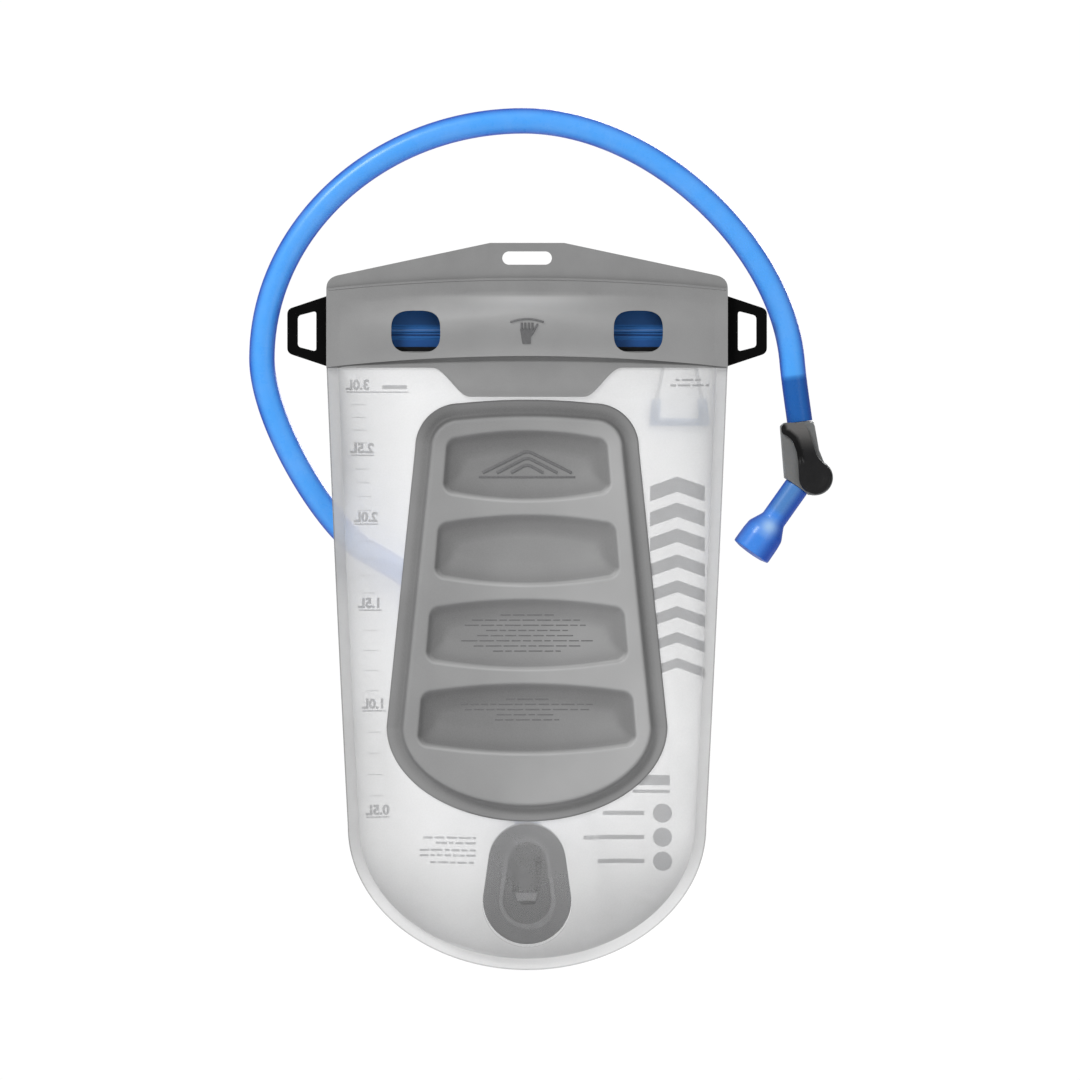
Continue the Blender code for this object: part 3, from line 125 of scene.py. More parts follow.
BAND_LOW_SIDE = -65.5 * MM
WINDOW_X = 62.7 * MM
WINDOW_Z = -45.5 * MM
WINDOW_WIDTH = 27.7 * MM
WINDOW_HEIGHT = 23.7 * MM
WINDOW_POWER = 3.1

# Zip, tabs, slider and pull
ZIP_HALF_LENGTH = edge("zip_rail_upper", HIGH, X)
ZIP_Z = (edge("zip_rail_upper", HIGH, Z) + edge("zip_rail_lower", LOW, Z)) / 2
TAPE_REACH = edge("zip_rail_upper", HIGH, Z) - ZIP_Z
RIDGE = 1.4 * MM  # distance of the rails' fine ridges from ZIP_Z
RAIL_BACK_Y = edge("zip_rail_upper", LOW, Y)
RAIL_TOP_Y = edge("zip_rail_upper", HIGH, Y)
TAB_LOW_Y = edge("zip_end_tab_left", LOW, Y)
TAB_HIGH_Y = edge("zip_end_tab_left", HIGH, Y)
TAB_INNER_X = edge("zip_end_tab_right", LOW, X)
TAB_OUTER_X = edge("zip_end_tab_right", HIGH, X)
TAB_Z = (edge("zip_end_tab_right", HIGH, Z) + edge("zip_end_tab_right", LOW, Z)) / 2
TAB_INNER_HALF = 20.6 * MM
TAB_OUTER_HALF = 12.4 * MM
TAB_HOLE = (119.2 * MM, 129.7 * MM, 11.5 * MM, 8.8 * MM)
SLIDER_X = (edge("zip_slider", LOW, X) + edge("zip_slider", HIGH, X)) / 2
PULL_AXIS_Y = WELD_Y + 10.2 * MM
CORD_R = 1.1 * MM
CORD_HALF_TOP = 5.35 * MM
CORD_HALF_LOW = 12.9 * MM
GRIP_TOP_Z = edge("pull_grip", HIGH, Z)
GRIP_LOW_Z = edge("pull_grip", LOW, Z)
GRIP_Y = (edge("pull_grip", LOW, Y) + edge("pull_grip", HIGH, Y)) / 2
GRIP_THICKNESS = edge("pull_grip", HIGH, Y) - edge("pull_grip", LOW, Y)
GRIP_HALF_TOP = 15.6 * MM
GRIP_HALF_LOW = edge("pull_grip", HIGH, X) - SLIDER_X
GRIP_LEG = 5.6 * MM
GRIP_BAR = 4.6 * MM

# Back plate
PLATE_BACK_Y = edge("back_plate", HIGH, Y)
PLATE_HEIGHT = PLATE_BACK_Y - edge("back_plate", LOW, Y)
PLATE_TOP = edge("back_plate", HIGH, Z)
PLATE_TOP_DROP = 2.0 * MM
PLATE_CORNER = 25.0 * MM
PLATE_CORNER_X = 38.0 * MM
PLATE_HALF_LOW = edge("back_plate", HIGH, X)
PLATE_ELLIPSE_Z = -268.0 * MM
PLATE_ELLIPSE_RISE = PLATE_ELLIPSE_Z - edge("back_plate", LOW, Z)
RECESS_COUNT = 4
RECESS_DEPTH = 4.0 * MM
RECESS_TOP = -101.4 * MM
RECESS_PITCH = 47.4 * MM
RECESS_HEIGHT = 39.6 * MM
RECESS_HALF = 47.0 * MM
RECESS_GROWTH = 4.8 * MM
RECESS_ARCH = 5.0 * MM
RECESS_CORNER = 6.5 * MM

# Port
PORT_LOW_Z = -367.3 * MM
PORT_LOW_R = 25.1 * MM
PORT_TOP_Z = -345.0 * MM
PORT_TOP_R = 22.0 * MM
PORT_LEAN = (PORT_LOW_R - PORT_TOP_R) / (PORT_TOP_Z - PORT_LOW_Z)
PORT_FLANGE_Y = edge("port_base", LOW, Y)
PORT_FLANGE = 1.75 * MM
PORT_FILM_BULGE = PORT_FLANGE_Y - 0.3 * MM - FRONT_FLAT_Y
PORT_FLAT_MARGIN = 14.0 * MM
PORT_BLEND = 14.0 * MM
SOCKET_R = 11.0 * MM
SOCKET_Y = edge("port_base", HIGH, Y) - SOCKET_R
SOCKET_TOP = -336.4 * MM
SOCKET_LOW = -378.0 * MM
BORE_R = 7.3 * MM
SEAT_TOP = -357.2 * MM
SEAT_LOW = -358.8 * MM
SEAT_R = 5.0 * MM
POCKET = 2.2 * MM
LATCH_LOW_Z = -346.0 * MM
LATCH_THICKNESS = 2.4 * MM
LATCH_HALF = 9.0 * MM
LATCH_TRAVEL = 2.0 * MM
LATCH_HEAD_R = 6.5 * MM

# Hose, valve and mouthpiece
HOSE_R = 7.25 * MM
HOSE_BORE_R = 4.75 * MM
HOSE_START_Z = -330.6 * MM
HOSE_LOOP_Y = (edge("valve_body", LOW, Y) + edge("valve_body", HIGH, Y)) / 2
HOSE_END = Vector((154.8 * MM, HOSE_LOOP_Y, -96.0 * MM))
VALVE_IN = Vector((0.134, 0.0, -0.991)).normalized()
VALVE_OUT = Vector((-0.577, 0.0, -0.817)).normalized()
OUTLET = Vector((153.1 * MM, HOSE_LOOP_Y, -132.6 * MM))
ROTOR_X = 163.3 * MM
ROTOR_Z = -127.7 * MM
ROTOR_CAVITY_R = 8.1 * MM
VALVE_SHELL_R = 10.0 * MM
VALVE_LOW_Y = edge("valve_body", LOW, Y)
VALVE_HIGH_Y = edge("valve_body", HIGH, Y)
BARB_R = 4.3 * MM
CHANNEL_R = 3.0 * MM
BARB_LENGTH = 22.0 * MM
LEVER_LOW_Y = edge("lever", LOW, Y)
LEVER_HIGH_Y = edge("lever", HIGH, Y)
LEVER_DISC_R = 9.4 * MM
BITE_STUB = 23.5 * MM
BITE_NECK = 31.5 * MM
BITE_HEAD_R = 11.6 * MM
BITE_LENGTH = 45.9 * MM
BITE_BORE_R = 4.9 * MM
BITE_WALL = 2.4 * MM
BITE_SLIT = 15.0 * MM

# Camera and studio
CAMERA = Vector((7.3 * MM, -3.0, -163.0 * MM))
FRAME_WIDTH = 0.61  # shown at y = 0
SENSOR = 36.0  # millimetres, Blender's unit for a sensor and a lens
FLOOR_Z = -0.62
FLOOR_R = 1.25

SMOOTH_ANGLE = radians(38.0)


# ---------------------------------------------------------------- shapes


def clamp01(value):
    return min(max(value, 0.0), 1.0)


def smooth01(value):
    t = clamp01(value)
    return t * t * (3.0 - 2.0 * t)


def spread(first, last, count):
    """count + 1 evenly spaced values from first to last."""
    return [first + (last - first) * i / count for i in range(count + 1)]


def mm(points):
    """Pairs given in millimetres, in metres."""
    return [(a * MM, b * MM) for a, b in points]


def show(name, data):
    """An object in the scene that holds the given data."""
    made = bpy.data.objects.new(name, data)
    bpy.context.scene.collection.objects.link(made)
    return made


def to_mesh(name, bm):
    """A mesh whose faces point out; it uses the bmesh up."""
    bmesh.ops.recalc_face_normals(bm, faces=bm.faces)
    mesh = bpy.data.meshes.new(name)
    bm.to_mesh(mesh)
    bm.free()
    return mesh


def piece(name, shape, finish, node=None, body="bag"):
    """A finished object, from a bmesh or a mesh, that rides on a CAD body and may replace a node."""
    mesh = shape if isinstance(shape, bpy.types.Mesh) else to_mesh(name, shape)
    slot, material = FINISH[finish]
    mesh.shade_smooth()
    mesh.set_sharp_from_angle(angle=SMOOTH_ANGLE)
    mesh.materials.clear()
    mesh.materials.append(material)
    made = show(name, mesh)
    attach(made, body)
    if node:
        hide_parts(node)
    return made


def mark_points(mesh, name, rule):
    """A point attribute whose value at each vertex is rule(position)."""
    values = mesh.attributes.new(name, "FLOAT", "POINT").data
    for v, value in zip(mesh.vertices, values):
        value.value = rule(v.co)


def bevel(made, width, segments=3, angle=35.0):
    """Rounds the edges that are sharper than angle."""
    modifier = made.modifiers.new("bevel", "BEVEL")
    modifier.width = width
    modifier.segments = segments
    modifier.limit_method = "ANGLE"
    modifier.angle_limit = radians(angle)
    modifier.harden_normals = False
    weighted = made.modifiers.new("normals", "WEIGHTED_NORMAL")
    weighted.keep_sharp = False
    return made


def band(bm, low, high):
    """Faces between two closed rows of as many vertices."""
    for i in range(len(low)):
        j = (i + 1) % len(low)
        bm.faces.new((low[i], low[j], high[j], high[i]))


def bands(bm, rows):
    """Faces between each closed row of vertices and the next."""
    for low, high in zip(rows, rows[1:]):
        band(bm, low, high)


def cover(bm, rings, loop=False):
    """Adds a closed surface over rings of equal length, capped at its ends or joined end to end."""
    layers = [[bm.verts.new(p) for p in ring] for ring in rings]
    bands(bm, layers)
    if loop:
        band(bm, layers[-1], layers[0])
    else:
        bm.faces.new(layers[0][::-1])
        bm.faces.new(layers[-1])
    return layers


def skin(rings, loop=False):
    """One closed surface over rings."""
    bm = bmesh.new()
    cover(bm, rings, loop)
    return bm


def flat(outline, holes=(), step=None):
    """A flat sheet in the plane y = 0, cut into cells no wider than step."""
    bm = bmesh.new()
    edges = []
    for loop in (outline, *holes):
        verts = [bm.verts.new((x, 0.0, z)) for x, z in loop]
        edges += [bm.edges.new(pair) for pair in zip(verts, verts[1:] + verts[:1])]
    bmesh.ops.triangle_fill(bm, edges=edges, use_beauty=True)
    if step:
        cut(bm, step)
    return bm


def cut(bm, step):
    """Cuts a flat sheet along a square grid."""
    for axis in (Vector((1, 0, 0)), Vector((0, 0, 1))):
        places = [v.co.dot(axis) for v in bm.verts]
        first, last = min(places), max(places)
        count = max(1, round((last - first) / step))
        for at in spread(first, last, count)[1:-1]:
            geometry = bm.verts[:] + bm.edges[:] + bm.faces[:]
            bmesh.ops.bisect_plane(bm, geom=geometry, plane_co=axis * at, plane_no=axis, dist=1e-7)


def thicken(bm, inner_y, outer_y):
    """Turns a flat sheet into a closed one between two surfaces y(x, z)."""
    inner = bm.verts[:]
    grown = bmesh.ops.extrude_face_region(bm, geom=bm.faces[:])
    outer = [g for g in grown["geom"] if isinstance(g, bmesh.types.BMVert)]
    for verts, surface in ((inner, inner_y), (outer, outer_y)):
        for v in verts:
            v.co.y = surface(v.co.x, v.co.z)
    return bm


def slab(outline, y_low, y_high, holes=()):
    """A plate between two Y planes."""
    return thicken(flat(outline, holes), lambda x, z: y_low, lambda x, z: y_high)


def box(low, high):
    """A block between two corners."""
    ring = [(low[0], low[2]), (high[0], low[2]), (high[0], high[2]), (low[0], high[2])]
    return slab(ring, low[1], high[1])


def ring_points(centre, across, along, radius, count):
    """Points on a circle about centre, in the plane of the unit vectors across and along."""
    angles = [2.0 * pi * i / count for i in range(count)]
    return [centre + (across * cos(a) + along * sin(a)) * radius for a in angles]


def lathe(profile, origin, axis, count=64, loop=False):
    """A turned solid: profile is (radius, distance along axis from origin)."""
    axis = Vector(axis).normalized()
    across = axis.orthogonal().normalized()
    along = axis.cross(across)
    origin = Vector(origin)
    return skin([ring_points(origin + axis * d, across, along, r, count) for r, d in profile], loop)


def rod(origin, axis, radius, length, count=64):
    """A cylinder from origin along axis."""
    return lathe([(radius, 0.0), (radius, length)], origin, axis, count)


def soften(points, radius, loop=False, steps=4):
    """A polyline or closed outline whose corners are rounded by about radius."""
    count = len(points)
    out = []
    for i, point in enumerate(points):
        here = Vector(point)
        if not loop and i in (0, count - 1):
            out.append(here)
            continue
        before = Vector(points[i - 1]) - here
        after = Vector(points[(i + 1) % count]) - here
        start = here + before * min(0.45, radius / before.length)
        end = here + after * min(0.45, radius / after.length)
        for t in spread(0.0, 1.0, steps):
            out.append(start * (1 - t) ** 2 + here * 2 * t * (1 - t) + end * t * t)
    return [tuple(p) for p in out]


def travelled(path):
    """The length of a path up to each of its points."""
    lengths = [0.0]
    for a, b in zip(path, path[1:]):
        lengths.append(lengths[-1] + (b - a).length)
    return lengths


def frames(path):
    """Each point of a path with two unit vectors across it, carried along without twist."""
    across = None
    for i, point in enumerate(path):
        tangent = (path[min(i + 1, len(path) - 1)] - path[max(i - 1, 0)]).normalized()
        if across is None:
            across = tangent.orthogonal().normalized()
        across = (across - tangent * across.dot(tangent)).normalized()
        yield point, across, tangent.cross(across)


def sweep(path, radius, count):
    """Rings of the given radius along a path."""
    return [ring_points(point, across, along, radius, count) for point, across, along in frames(path)]


def tubes(paths, radius, count):
    """Round strands along several paths, as one mesh."""
    bm = bmesh.new()
    for path in paths:
        cover(bm, sweep(path, radius, count))
    return bm


def bezier(a, b, c, d, count):
    """Points of a cubic curve, without its last point."""
    points = []
    for i in range(count):
        t = i / count
        s = 1.0 - t
        points.append(a * s**3 + b * 3 * s * s * t + c * 3 * s * t * t + d * t**3)
    return points


def both(half):
    """A whole outline from its right half, whose ends lie off the middle."""
    return list(half) + [(-x, z) for x, z in reversed(half)]


def mirrored(half):
    """A whole outline from its right half, listed from the top middle to the bottom middle."""
    return list(half) + [(-x, z) for x, z in reversed(half) if x > 1e-6]


def moulded(solids, cutters=(), voxel=None, smoothing=0):
    """The mesh of joined solids less the cutters, with its edges melted when a voxel is given."""
    body = show("helper", to_mesh("helper", solids[0]))
    helpers = []
    for operation, meshes in (("UNION", solids[1:]), ("DIFFERENCE", cutters)):
        for bm in meshes:
            helper = show("helper", to_mesh("helper", bm))
            helpers.append(helper)
            modifier = body.modifiers.new("join", "BOOLEAN")
            modifier.operation = operation
            modifier.solver = "EXACT"
            modifier.object = helper
    if voxel:
        remesh = body.modifiers.new("remesh", "REMESH")
        remesh.mode = "VOXEL"
        remesh.voxel_size = voxel
        relax = body.modifiers.new("relax", "SMOOTH")
        relax.factor = 0.5
        relax.iterations = smoothing
    graph = bpy.context.evaluated_depsgraph_get()
    mesh = bpy.data.meshes.new_from_object(body.evaluated_get(graph))
    for helper in (body, *helpers):
        bpy.data.objects.remove(helper, do_unlink=True)
    return mesh


# ---------------------------------------------------------------- node materials


def srgb(red, green, blue):
    """A linear colour from 8-bit sRGB values."""
    linear = []
    for value in (red, green, blue):
        share = value / 255.0
        linear.append(share / 12.92 if share <= 0.04045 else ((share + 0.055) / 1.055) ** 2.4)
    return (*linear, 1.0)


class Graph:
    """A short way to wire a node material."""

    def __init__(self, name):
        self.material = bpy.data.materials.new(name)
        self.material.use_nodes = True
        self.tree = self.material.node_tree
        self.tree.nodes.clear()
        self.place = self.add("TexCoord").outputs["Object"]

    def add(self, kind, inputs=(), **settings):
        node = self.tree.nodes.new("ShaderNode" + kind)
        for key, value in settings.items():
            setattr(node, key, value)
        for key, value in dict(inputs).items():
            self.join(node.inputs[key], value)
        return node

    def join(self, socket, value):
        if isinstance(value, bpy.types.NodeSocket):
            self.tree.links.new(value, socket)
        else:
            socket.default_value = value

    def noise(self, size, detail=3.0, rough=0.55):
        """Noise whose features are about size across."""
        inputs = {"Vector": self.place, "Scale": 1.0 / size, "Detail": detail, "Roughness": rough}
        return self.add("TexNoise", inputs).outputs["Fac"]

    def math(self, operation, a, b=0.0, clamp=False):
        node = self.add("Math", {0: a, 1: b}, operation=operation)
        node.use_clamp = clamp
        return node.outputs[0]

    def remap(self, value, low, high, new_low, new_high):
        names = ("Value", "From Min", "From Max", "To Min", "To Max")
        inputs = zip(names, (value, low, high, new_low, new_high))
        return self.add("MapRange", inputs).outputs["Result"]

    def vary(self, size, low, high, detail=3.0):
        """Noise whose usual values run from low to high."""
        return self.remap(self.noise(size, detail), 0.3, 0.7, low, high)

    def blend(self, share, a, b):
        """Colour a at share 0, b at share 1."""
        node = self.add("Mix", data_type="RGBA")
        self.join(node.inputs[0], share)
        self.join(node.inputs[6], a)
        self.join(node.inputs[7], b)
        return node.outputs[2]

    def shade(self, share, a, b):
        """Shader a at share 0, b at share 1."""
        return self.add("MixShader", {0: share, 1: a, 2: b}).outputs[0]

    def bump(self, height, depth, strength=1.0):
        inputs = {"Height": height, "Distance": depth, "Strength": strength}
        return self.add("Bump", inputs).outputs["Normal"]

    def read(self, name):
        """A point attribute of the mesh."""
        return self.add("Attribute", attribute_name=name).outputs["Fac"]

    def axis(self, index):
        return self.add("SeparateXYZ", {0: self.place}).outputs[index]

    def principled(self, colour, rough, normal, extra=()):
        inputs = {"Base Color": colour, "Roughness": rough, "Normal": normal, **dict(extra)}
        return self.add("BsdfPrincipled", inputs).outputs[0]

    def finish(self, shader):
        output = self.add("OutputMaterial")
        self.tree.links.new(shader, output.inputs["Surface"])
        return self.material


def moulded_plastic(name, dark, light, roughness, extra=()):
    """A moulded plastic: mottled colour, uneven gloss and fine grain.

    Reads shade, a painted shade that darkens it and a painted light where it is below zero, and sheen, a
    painted sheen that makes it paler.
    """
    g = Graph(name)
    mottle = g.vary(9 * MM, 0.0, 1.0, 4.0)
    speck = g.remap(g.noise(0.5 * MM, 2.0), 0.35, 0.65, 0.0, 1.0)
    colour = g.blend(g.math("MULTIPLY_ADD", mottle, 0.6), srgb(*dark), srgb(*light))
    colour = g.blend(g.math("MULTIPLY", speck, 0.18), colour, srgb(*light))
    # painted sheen, then painted light and shade, read from point attributes
    colour = g.blend(g.read("sheen"), colour, srgb(150, 148, 146))
    kept = g.math("SUBTRACT", 1.0, g.read("shade"))
    colour = g.add("VectorMath", {"Vector": colour, "Scale": kept}, operation="SCALE").outputs[0]
    rough = g.vary(2.2 * MM, roughness - 0.06, roughness + 0.08, 4.0)
    normal = g.bump(g.noise(0.25 * MM), 0.02 * MM)
    return g.finish(g.principled(colour, rough, normal, extra))


def film_material(name, clear, weld_clear, touch):
    """Frosted film. A ray passes the outer skin once: leaving through a back face changes nothing.

    Reads weld, which is 1 on the welded edge, wet, which is 1 on the header, port, the millimetres to
    the port's outline, within which the film clears by touch, and tone, painted light and shade that
    darkens the haze where it is low.
    """
    g = Graph(name)
    over_port = g.remap(g.read("port"), -0.2, 0.4, touch, 0.0)
    wet = g.math("MAXIMUM", g.read("wet"), over_port)
    fine = g.noise(0.9 * MM, 3.0, 0.7)
    grain = g.remap(fine, 0.35, 0.65, -0.012, 0.012)
    cloud = g.vary(38 * MM, -0.03, 0.03, 2.0)
    welded = g.math("MULTIPLY", g.read("weld"), weld_clear - clear)
    passing = g.math("ADD", g.math("ADD", g.math("ADD", grain, cloud), welded), clear, clamp=True)
    dry = g.math("SUBTRACT", 1.0, wet)
    hazy = g.math("MULTIPLY", g.math("SUBTRACT", 1.0, passing), dry)
    normal = g.bump(fine, 0.03 * MM, 0.35)
    pale = g.blend(g.noise(24 * MM, 2.0), srgb(249, 249, 249), srgb(254, 254, 254))
    # painted light and shade: tone runs the haze from dark grey to pale
    colour = g.blend(g.read("tone"), srgb(112, 112, 112), pale)
    near = g.add("BsdfDiffuse", {"Color": colour, "Roughness": 0.6, "Normal": normal}).outputs[0]
    through = g.add("BsdfTranslucent", {"Color": colour, "Normal": normal}).outputs[0]
    haze = g.shade(0.42, near, through)
    sheen = g.add("BsdfGlossy", {"Roughness": 0.34, "Normal": normal}).outputs[0]
    fresnel = g.add("Fresnel", {"IOR": 1.32, "Normal": normal}).outputs[0]
    shine = g.math("MULTIPLY", g.math("MULTIPLY", fresnel, 0.6), dry)
    empty = g.add("BsdfTransparent").outputs[0]
    body = g.shade(shine, g.shade(hazy, empty, haze), sheen)
    leaving = g.add("NewGeometry").outputs["Backfacing"]
    return g.finish(g.shade(leaving, body, empty))


def sheet_material():
    """Soft grey sheet with a fine grain. Reads a painted highlight, where it is painted paler."""
    g = Graph("grey_sheet_finish")
    fine = g.noise(0.45 * MM, 4.0, 0.65)
    broad = g.vary(26 * MM, 0.0, 1.0)
    colour = g.blend(broad, srgb(133, 133, 133), srgb(141, 141, 141))
    colour = g.blend(g.remap(fine, 0.35, 0.65, 0.0, 0.2), colour, srgb(156, 156, 156))
    # painted highlight, blended towards pale grey
    colour = g.blend(g.read("painted_highlight"), colour, srgb(215, 215, 215))
    return g.finish(g.principled(colour, g.vary(4 * MM, 0.46, 0.60), g.bump(fine, 0.03 * MM)))


def plate_material():
    """Compression moulded grey foam sheet. Reads tone, painted light and shade, which is low down in its
    grooves.
    """
    g = Graph("grey_plate_finish")
    fine = g.noise(0.6 * MM, 4.0, 0.6)
    broad = g.vary(45 * MM, 0.0, 1.0, 2.0)
    pale = g.blend(broad, srgb(169, 169, 169), srgb(180, 180, 180))
    # painted light and shade: tone runs the colour from dark grey to pale
    colour = g.blend(g.read("tone"), srgb(30, 30, 30), pale)
    colour = g.blend(g.remap(fine, 0.35, 0.65, 0.0, 0.10), colour, srgb(176, 176, 176))
    return g.finish(g.principled(colour, g.vary(6 * MM, 0.50, 0.64), g.bump(fine, 0.025 * MM)))


def ink_material(name, dark, light, size, detail, roughness, depth):
    """Grey ink, slightly uneven in patches of the given size."""
    g = Graph(name)
    patch = g.vary(size, 0.0, 1.0, detail)
    colour = g.blend(patch, srgb(*dark), srgb(*light))
    return g.finish(g.principled(colour, roughness, g.bump(patch, depth)))


def zip_material():
    """Extruded blue zip: navy tape, the upper tape darker by painted shade, and brighter rails with a
    painted highlight on one ridge and painted shade on the other, over a black painted shadow low down.
    """
    g = Graph("zip_blue_finish")
    height = g.axis(Z)
    stretched = g.add("Mapping", {"Vector": g.place, "Scale": (8.0, 900.0, 900.0)}).outputs[0]
    lines = g.add("TexNoise", {"Vector": stretched, "Scale": 1.0, "Detail": 3.0}).outputs["Fac"]
    # the upper tape's navy is darker than the lower tape's: painted shade under the band
    rail = g.remap(height, ZIP_Z + 4.7 * MM, ZIP_Z + 4.2 * MM, 0.0, 1.0)
    colour = g.blend(rail, srgb(34, 82, 140), srgb(40, 101, 169))
    low = g.remap(height, ZIP_Z - 3.9 * MM, ZIP_Z - 4.4 * MM, 0.0, 1.0)
    colour = g.blend(low, colour, srgb(33, 84, 150))
    # a painted highlight along the upper ridge and painted shade along the lower
    for at, painted_ridge_light in ((RIDGE, (84, 126, 184)), (-RIDGE, (18, 46, 92))):
        away = g.math("ABSOLUTE", g.math("SUBTRACT", height, ZIP_Z + at))
        colour = g.blend(g.remap(away, 0.7 * MM, 0.2 * MM, 0.0, 1.0), colour, srgb(*painted_ridge_light))
    colour = g.blend(g.remap(lines, 0.35, 0.65, 0.0, 0.12), colour, srgb(30, 70, 124))
    # a black band of painted shadow along the lower edge, where the band's window shades the zip
    painted_shadow = g.remap(height, ZIP_Z - 7.9 * MM, ZIP_Z - 8.2 * MM, 0.0, 1.0)
    colour = g.blend(painted_shadow, colour, srgb(10, 11, 14))
    rough = g.remap(lines, 0.3, 0.7, 0.36, 0.52)
    gloss = {"Specular IOR Level": 0.25}
    return g.finish(g.principled(colour, rough, g.bump(lines, 0.01 * MM), gloss))


def cord_material():
    """Braided cord: two crossing families of diagonal strands."""
    g = Graph("cord_grey_finish")
    waves = []
    for slant in (1.0, -1.0):
        turned = g.add("Mapping", {"Vector": g.place, "Rotation": (0.0, slant * pi / 5, 0.0)})
        wave = g.add("TexWave", {"Vector": turned.outputs[0], "Scale": 340.0, "Distortion": 0.4})
        waves.append(wave.outputs["Fac"])
    braid = g.math("MAXIMUM", waves[0], waves[1])
    colour = g.blend(braid, srgb(92, 94, 98), srgb(172, 174, 178))
    return g.finish(g.principled(colour, 0.8, g.bump(braid, 0.12 * MM)))


def steel_material():
    """Drawn spring wire."""
    g = Graph("spring_steel_finish")
    scratch = g.noise(0.3 * MM, 4.0)
    colour = g.blend(scratch, srgb(178, 180, 184), srgb(216, 217, 220))
    rough = g.remap(scratch, 0.3, 0.7, 0.22, 0.38)
    return g.finish(g.principled(colour, rough, g.bump(scratch, 0.008 * MM), {"Metallic": 1.0}))


def clear_blue(name, pale, deep, barb, barb_rim, shaded_side=(0.0, 0.0, 0.0)):
    """Clear blue plastic: pale where it is looked through, deep at its rims, dull over a barb.

    It is deeper, in painted shade, on the side that faces the given shaded side. Reads barb, which is 1
    where a barb sits inside, and sheen, a painted highlight that makes it paler.
    """
    g = Graph(name)
    facing = g.add("LayerWeight", {"Blend": 0.5}).outputs["Facing"]
    rim = g.math("POWER", g.remap(facing, 0.10, 0.62, 0.0, 1.0), 1.3)
    streak = g.vary(14 * MM, 0.0, 0.12, 2.0)
    clear = g.blend(streak, g.blend(rim, srgb(*pale), srgb(*deep)), srgb(168, 208, 255))
    stuffed = g.blend(rim, srgb(*barb), srgb(*barb_rim))
    colour = g.blend(g.read("barb"), clear, stuffed)
    # painted shade on the side turned from the key light
    outward = g.add("NewGeometry").outputs["Normal"]
    away = g.add("VectorMath", {0: outward, 1: shaded_side}, operation="DOT_PRODUCT").outputs["Value"]
    colour = g.blend(g.remap(away, 0.1, 0.75, 0.0, 1.0), colour, srgb(*deep))
    # painted highlight
    colour = g.blend(g.read("sheen"), colour, srgb(190, 226, 255))
    fine = g.noise(5 * MM, 2.0)
    rough = g.remap(fine, 0.3, 0.7, 0.24, 0.34)
    glow = {"Specular IOR Level": 0.35, "Emission Color": colour, "Emission Strength": 0.14}
    solid = g.principled(colour, rough, g.bump(fine, 0.01 * MM), glow)
    lit = g.add("BsdfTranslucent", {"Color": colour}).outputs[0]
    return g.finish(g.shade(0.22, solid, lit))


def floor_material():
    """Pale matt floor that fades to the background's white at its rim."""
    g = Graph("studio_floor")
    away = g.add("VectorMath", {0: g.place}, operation="LENGTH").outputs["Value"]
    fade = g.remap(away, FLOOR_R * 0.45, FLOOR_R * 0.97, 0.0, 1.0)
    tone = g.blend(g.noise(60 * MM, 2.0), srgb(236, 236, 237), srgb(241, 241, 242))
    matt = g.add("BsdfDiffuse", {"Color": tone}).outputs[0]
    white = g.add("Emission", {"Color": (1.0, 1.0, 1.0, 1.0), "Strength": 1.0}).outputs[0]
    return g.finish(g.shade(fade, matt, white))


DULL = {"Specular IOR Level": 0.06}
SATIN = {"Specular IOR Level": 0.22}
# the bite's side turned from the key light, which gets painted shade
BITE_SHADED_SIDE = (-VALVE_OUT.z, 0.0, VALVE_OUT.x)
SOFT = {"Subsurface Weight": 0.2, "Subsurface Radius": (0.5, 0.8, 1.4), "Subsurface Scale": 1.5 * MM}
MARK = ink_material("mark_finish", (104, 104, 105), (116, 116, 117), 1.2 * MM, 3.0, 0.6, 0.02 * MM)
PRINT = ink_material("print_ink", (118, 119, 122), (136, 137, 140), 1.4 * MM, 4.0, 0.7, 0.004 * MM)
HOSE_BLUES = ((84, 176, 255), (4, 76, 190), (32, 102, 182), (6, 64, 162))
BITE_BLUES = ((58, 140, 236), (2, 76, 182), (88, 140, 200), (8, 78, 184))


def plastic(slot, name, dark, light, roughness, extra=()):
    """A slot and its plastic, from two greys or two colours."""
    first, last = ((tone,) * 3 if isinstance(tone, int) else tone for tone in (dark, light))
    return slot, moulded_plastic(name, first, last, roughness, extra)


# Each finish: (the record's material slot, material)
FINISH = {
    "back_film": ("clear_film", film_material("back_film_finish", 0.50, 0.36, 0.44)),
    "front_film": ("clear_film", film_material("front_film_finish", 0.26, 0.20, 1.0)),
    "print": ("clear_film", PRINT),
    "sheet": ("grey_sheet", sheet_material()),
    "mark": ("grey_sheet", MARK),
    "plate": ("grey_plate", plate_material()),
    "plate_mark": ("grey_plate", MARK),
    "zip": ("zip_blue", zip_material()),
    "cord": ("cord_grey", cord_material()),
    "steel": ("spring_steel", steel_material()),
    "hose": ("hose_blue", clear_blue("hose_blue_finish", *HOSE_BLUES)),
    "bite": ("bite_blue", clear_blue("bite_blue_finish", *BITE_BLUES, BITE_SHADED_SIDE)),
    "black": plastic("black_plastic", "black_plastic_finish", 2, 6, 0.6, DULL),
    "lever": plastic("black_plastic", "lever_black_finish", (20, 20, 21), (30, 30, 31), 0.36, SATIN),
    "grip": plastic("grip_blue", "grip_blue_finish", (84, 142, 204), (116, 168, 222), 0.5, SOFT),
    "port": plastic("port_grey", "port_grey_finish", (84, 84, 85), (98, 98, 99), 0.46),
    "rubber": plastic("seal_rubber", "seal_rubber_finish", 20, 36, 0.66),
    "white": plastic("white_plastic", "white_plastic_finish", (206, 207, 208), (230, 230, 230), 0.4),
    "valve": plastic("valve_grey", "valve_grey_finish", (96, 97, 98), (116, 117, 117), 0.34, SOFT),
}


# ---------------------------------------------------------------- bag surfaces


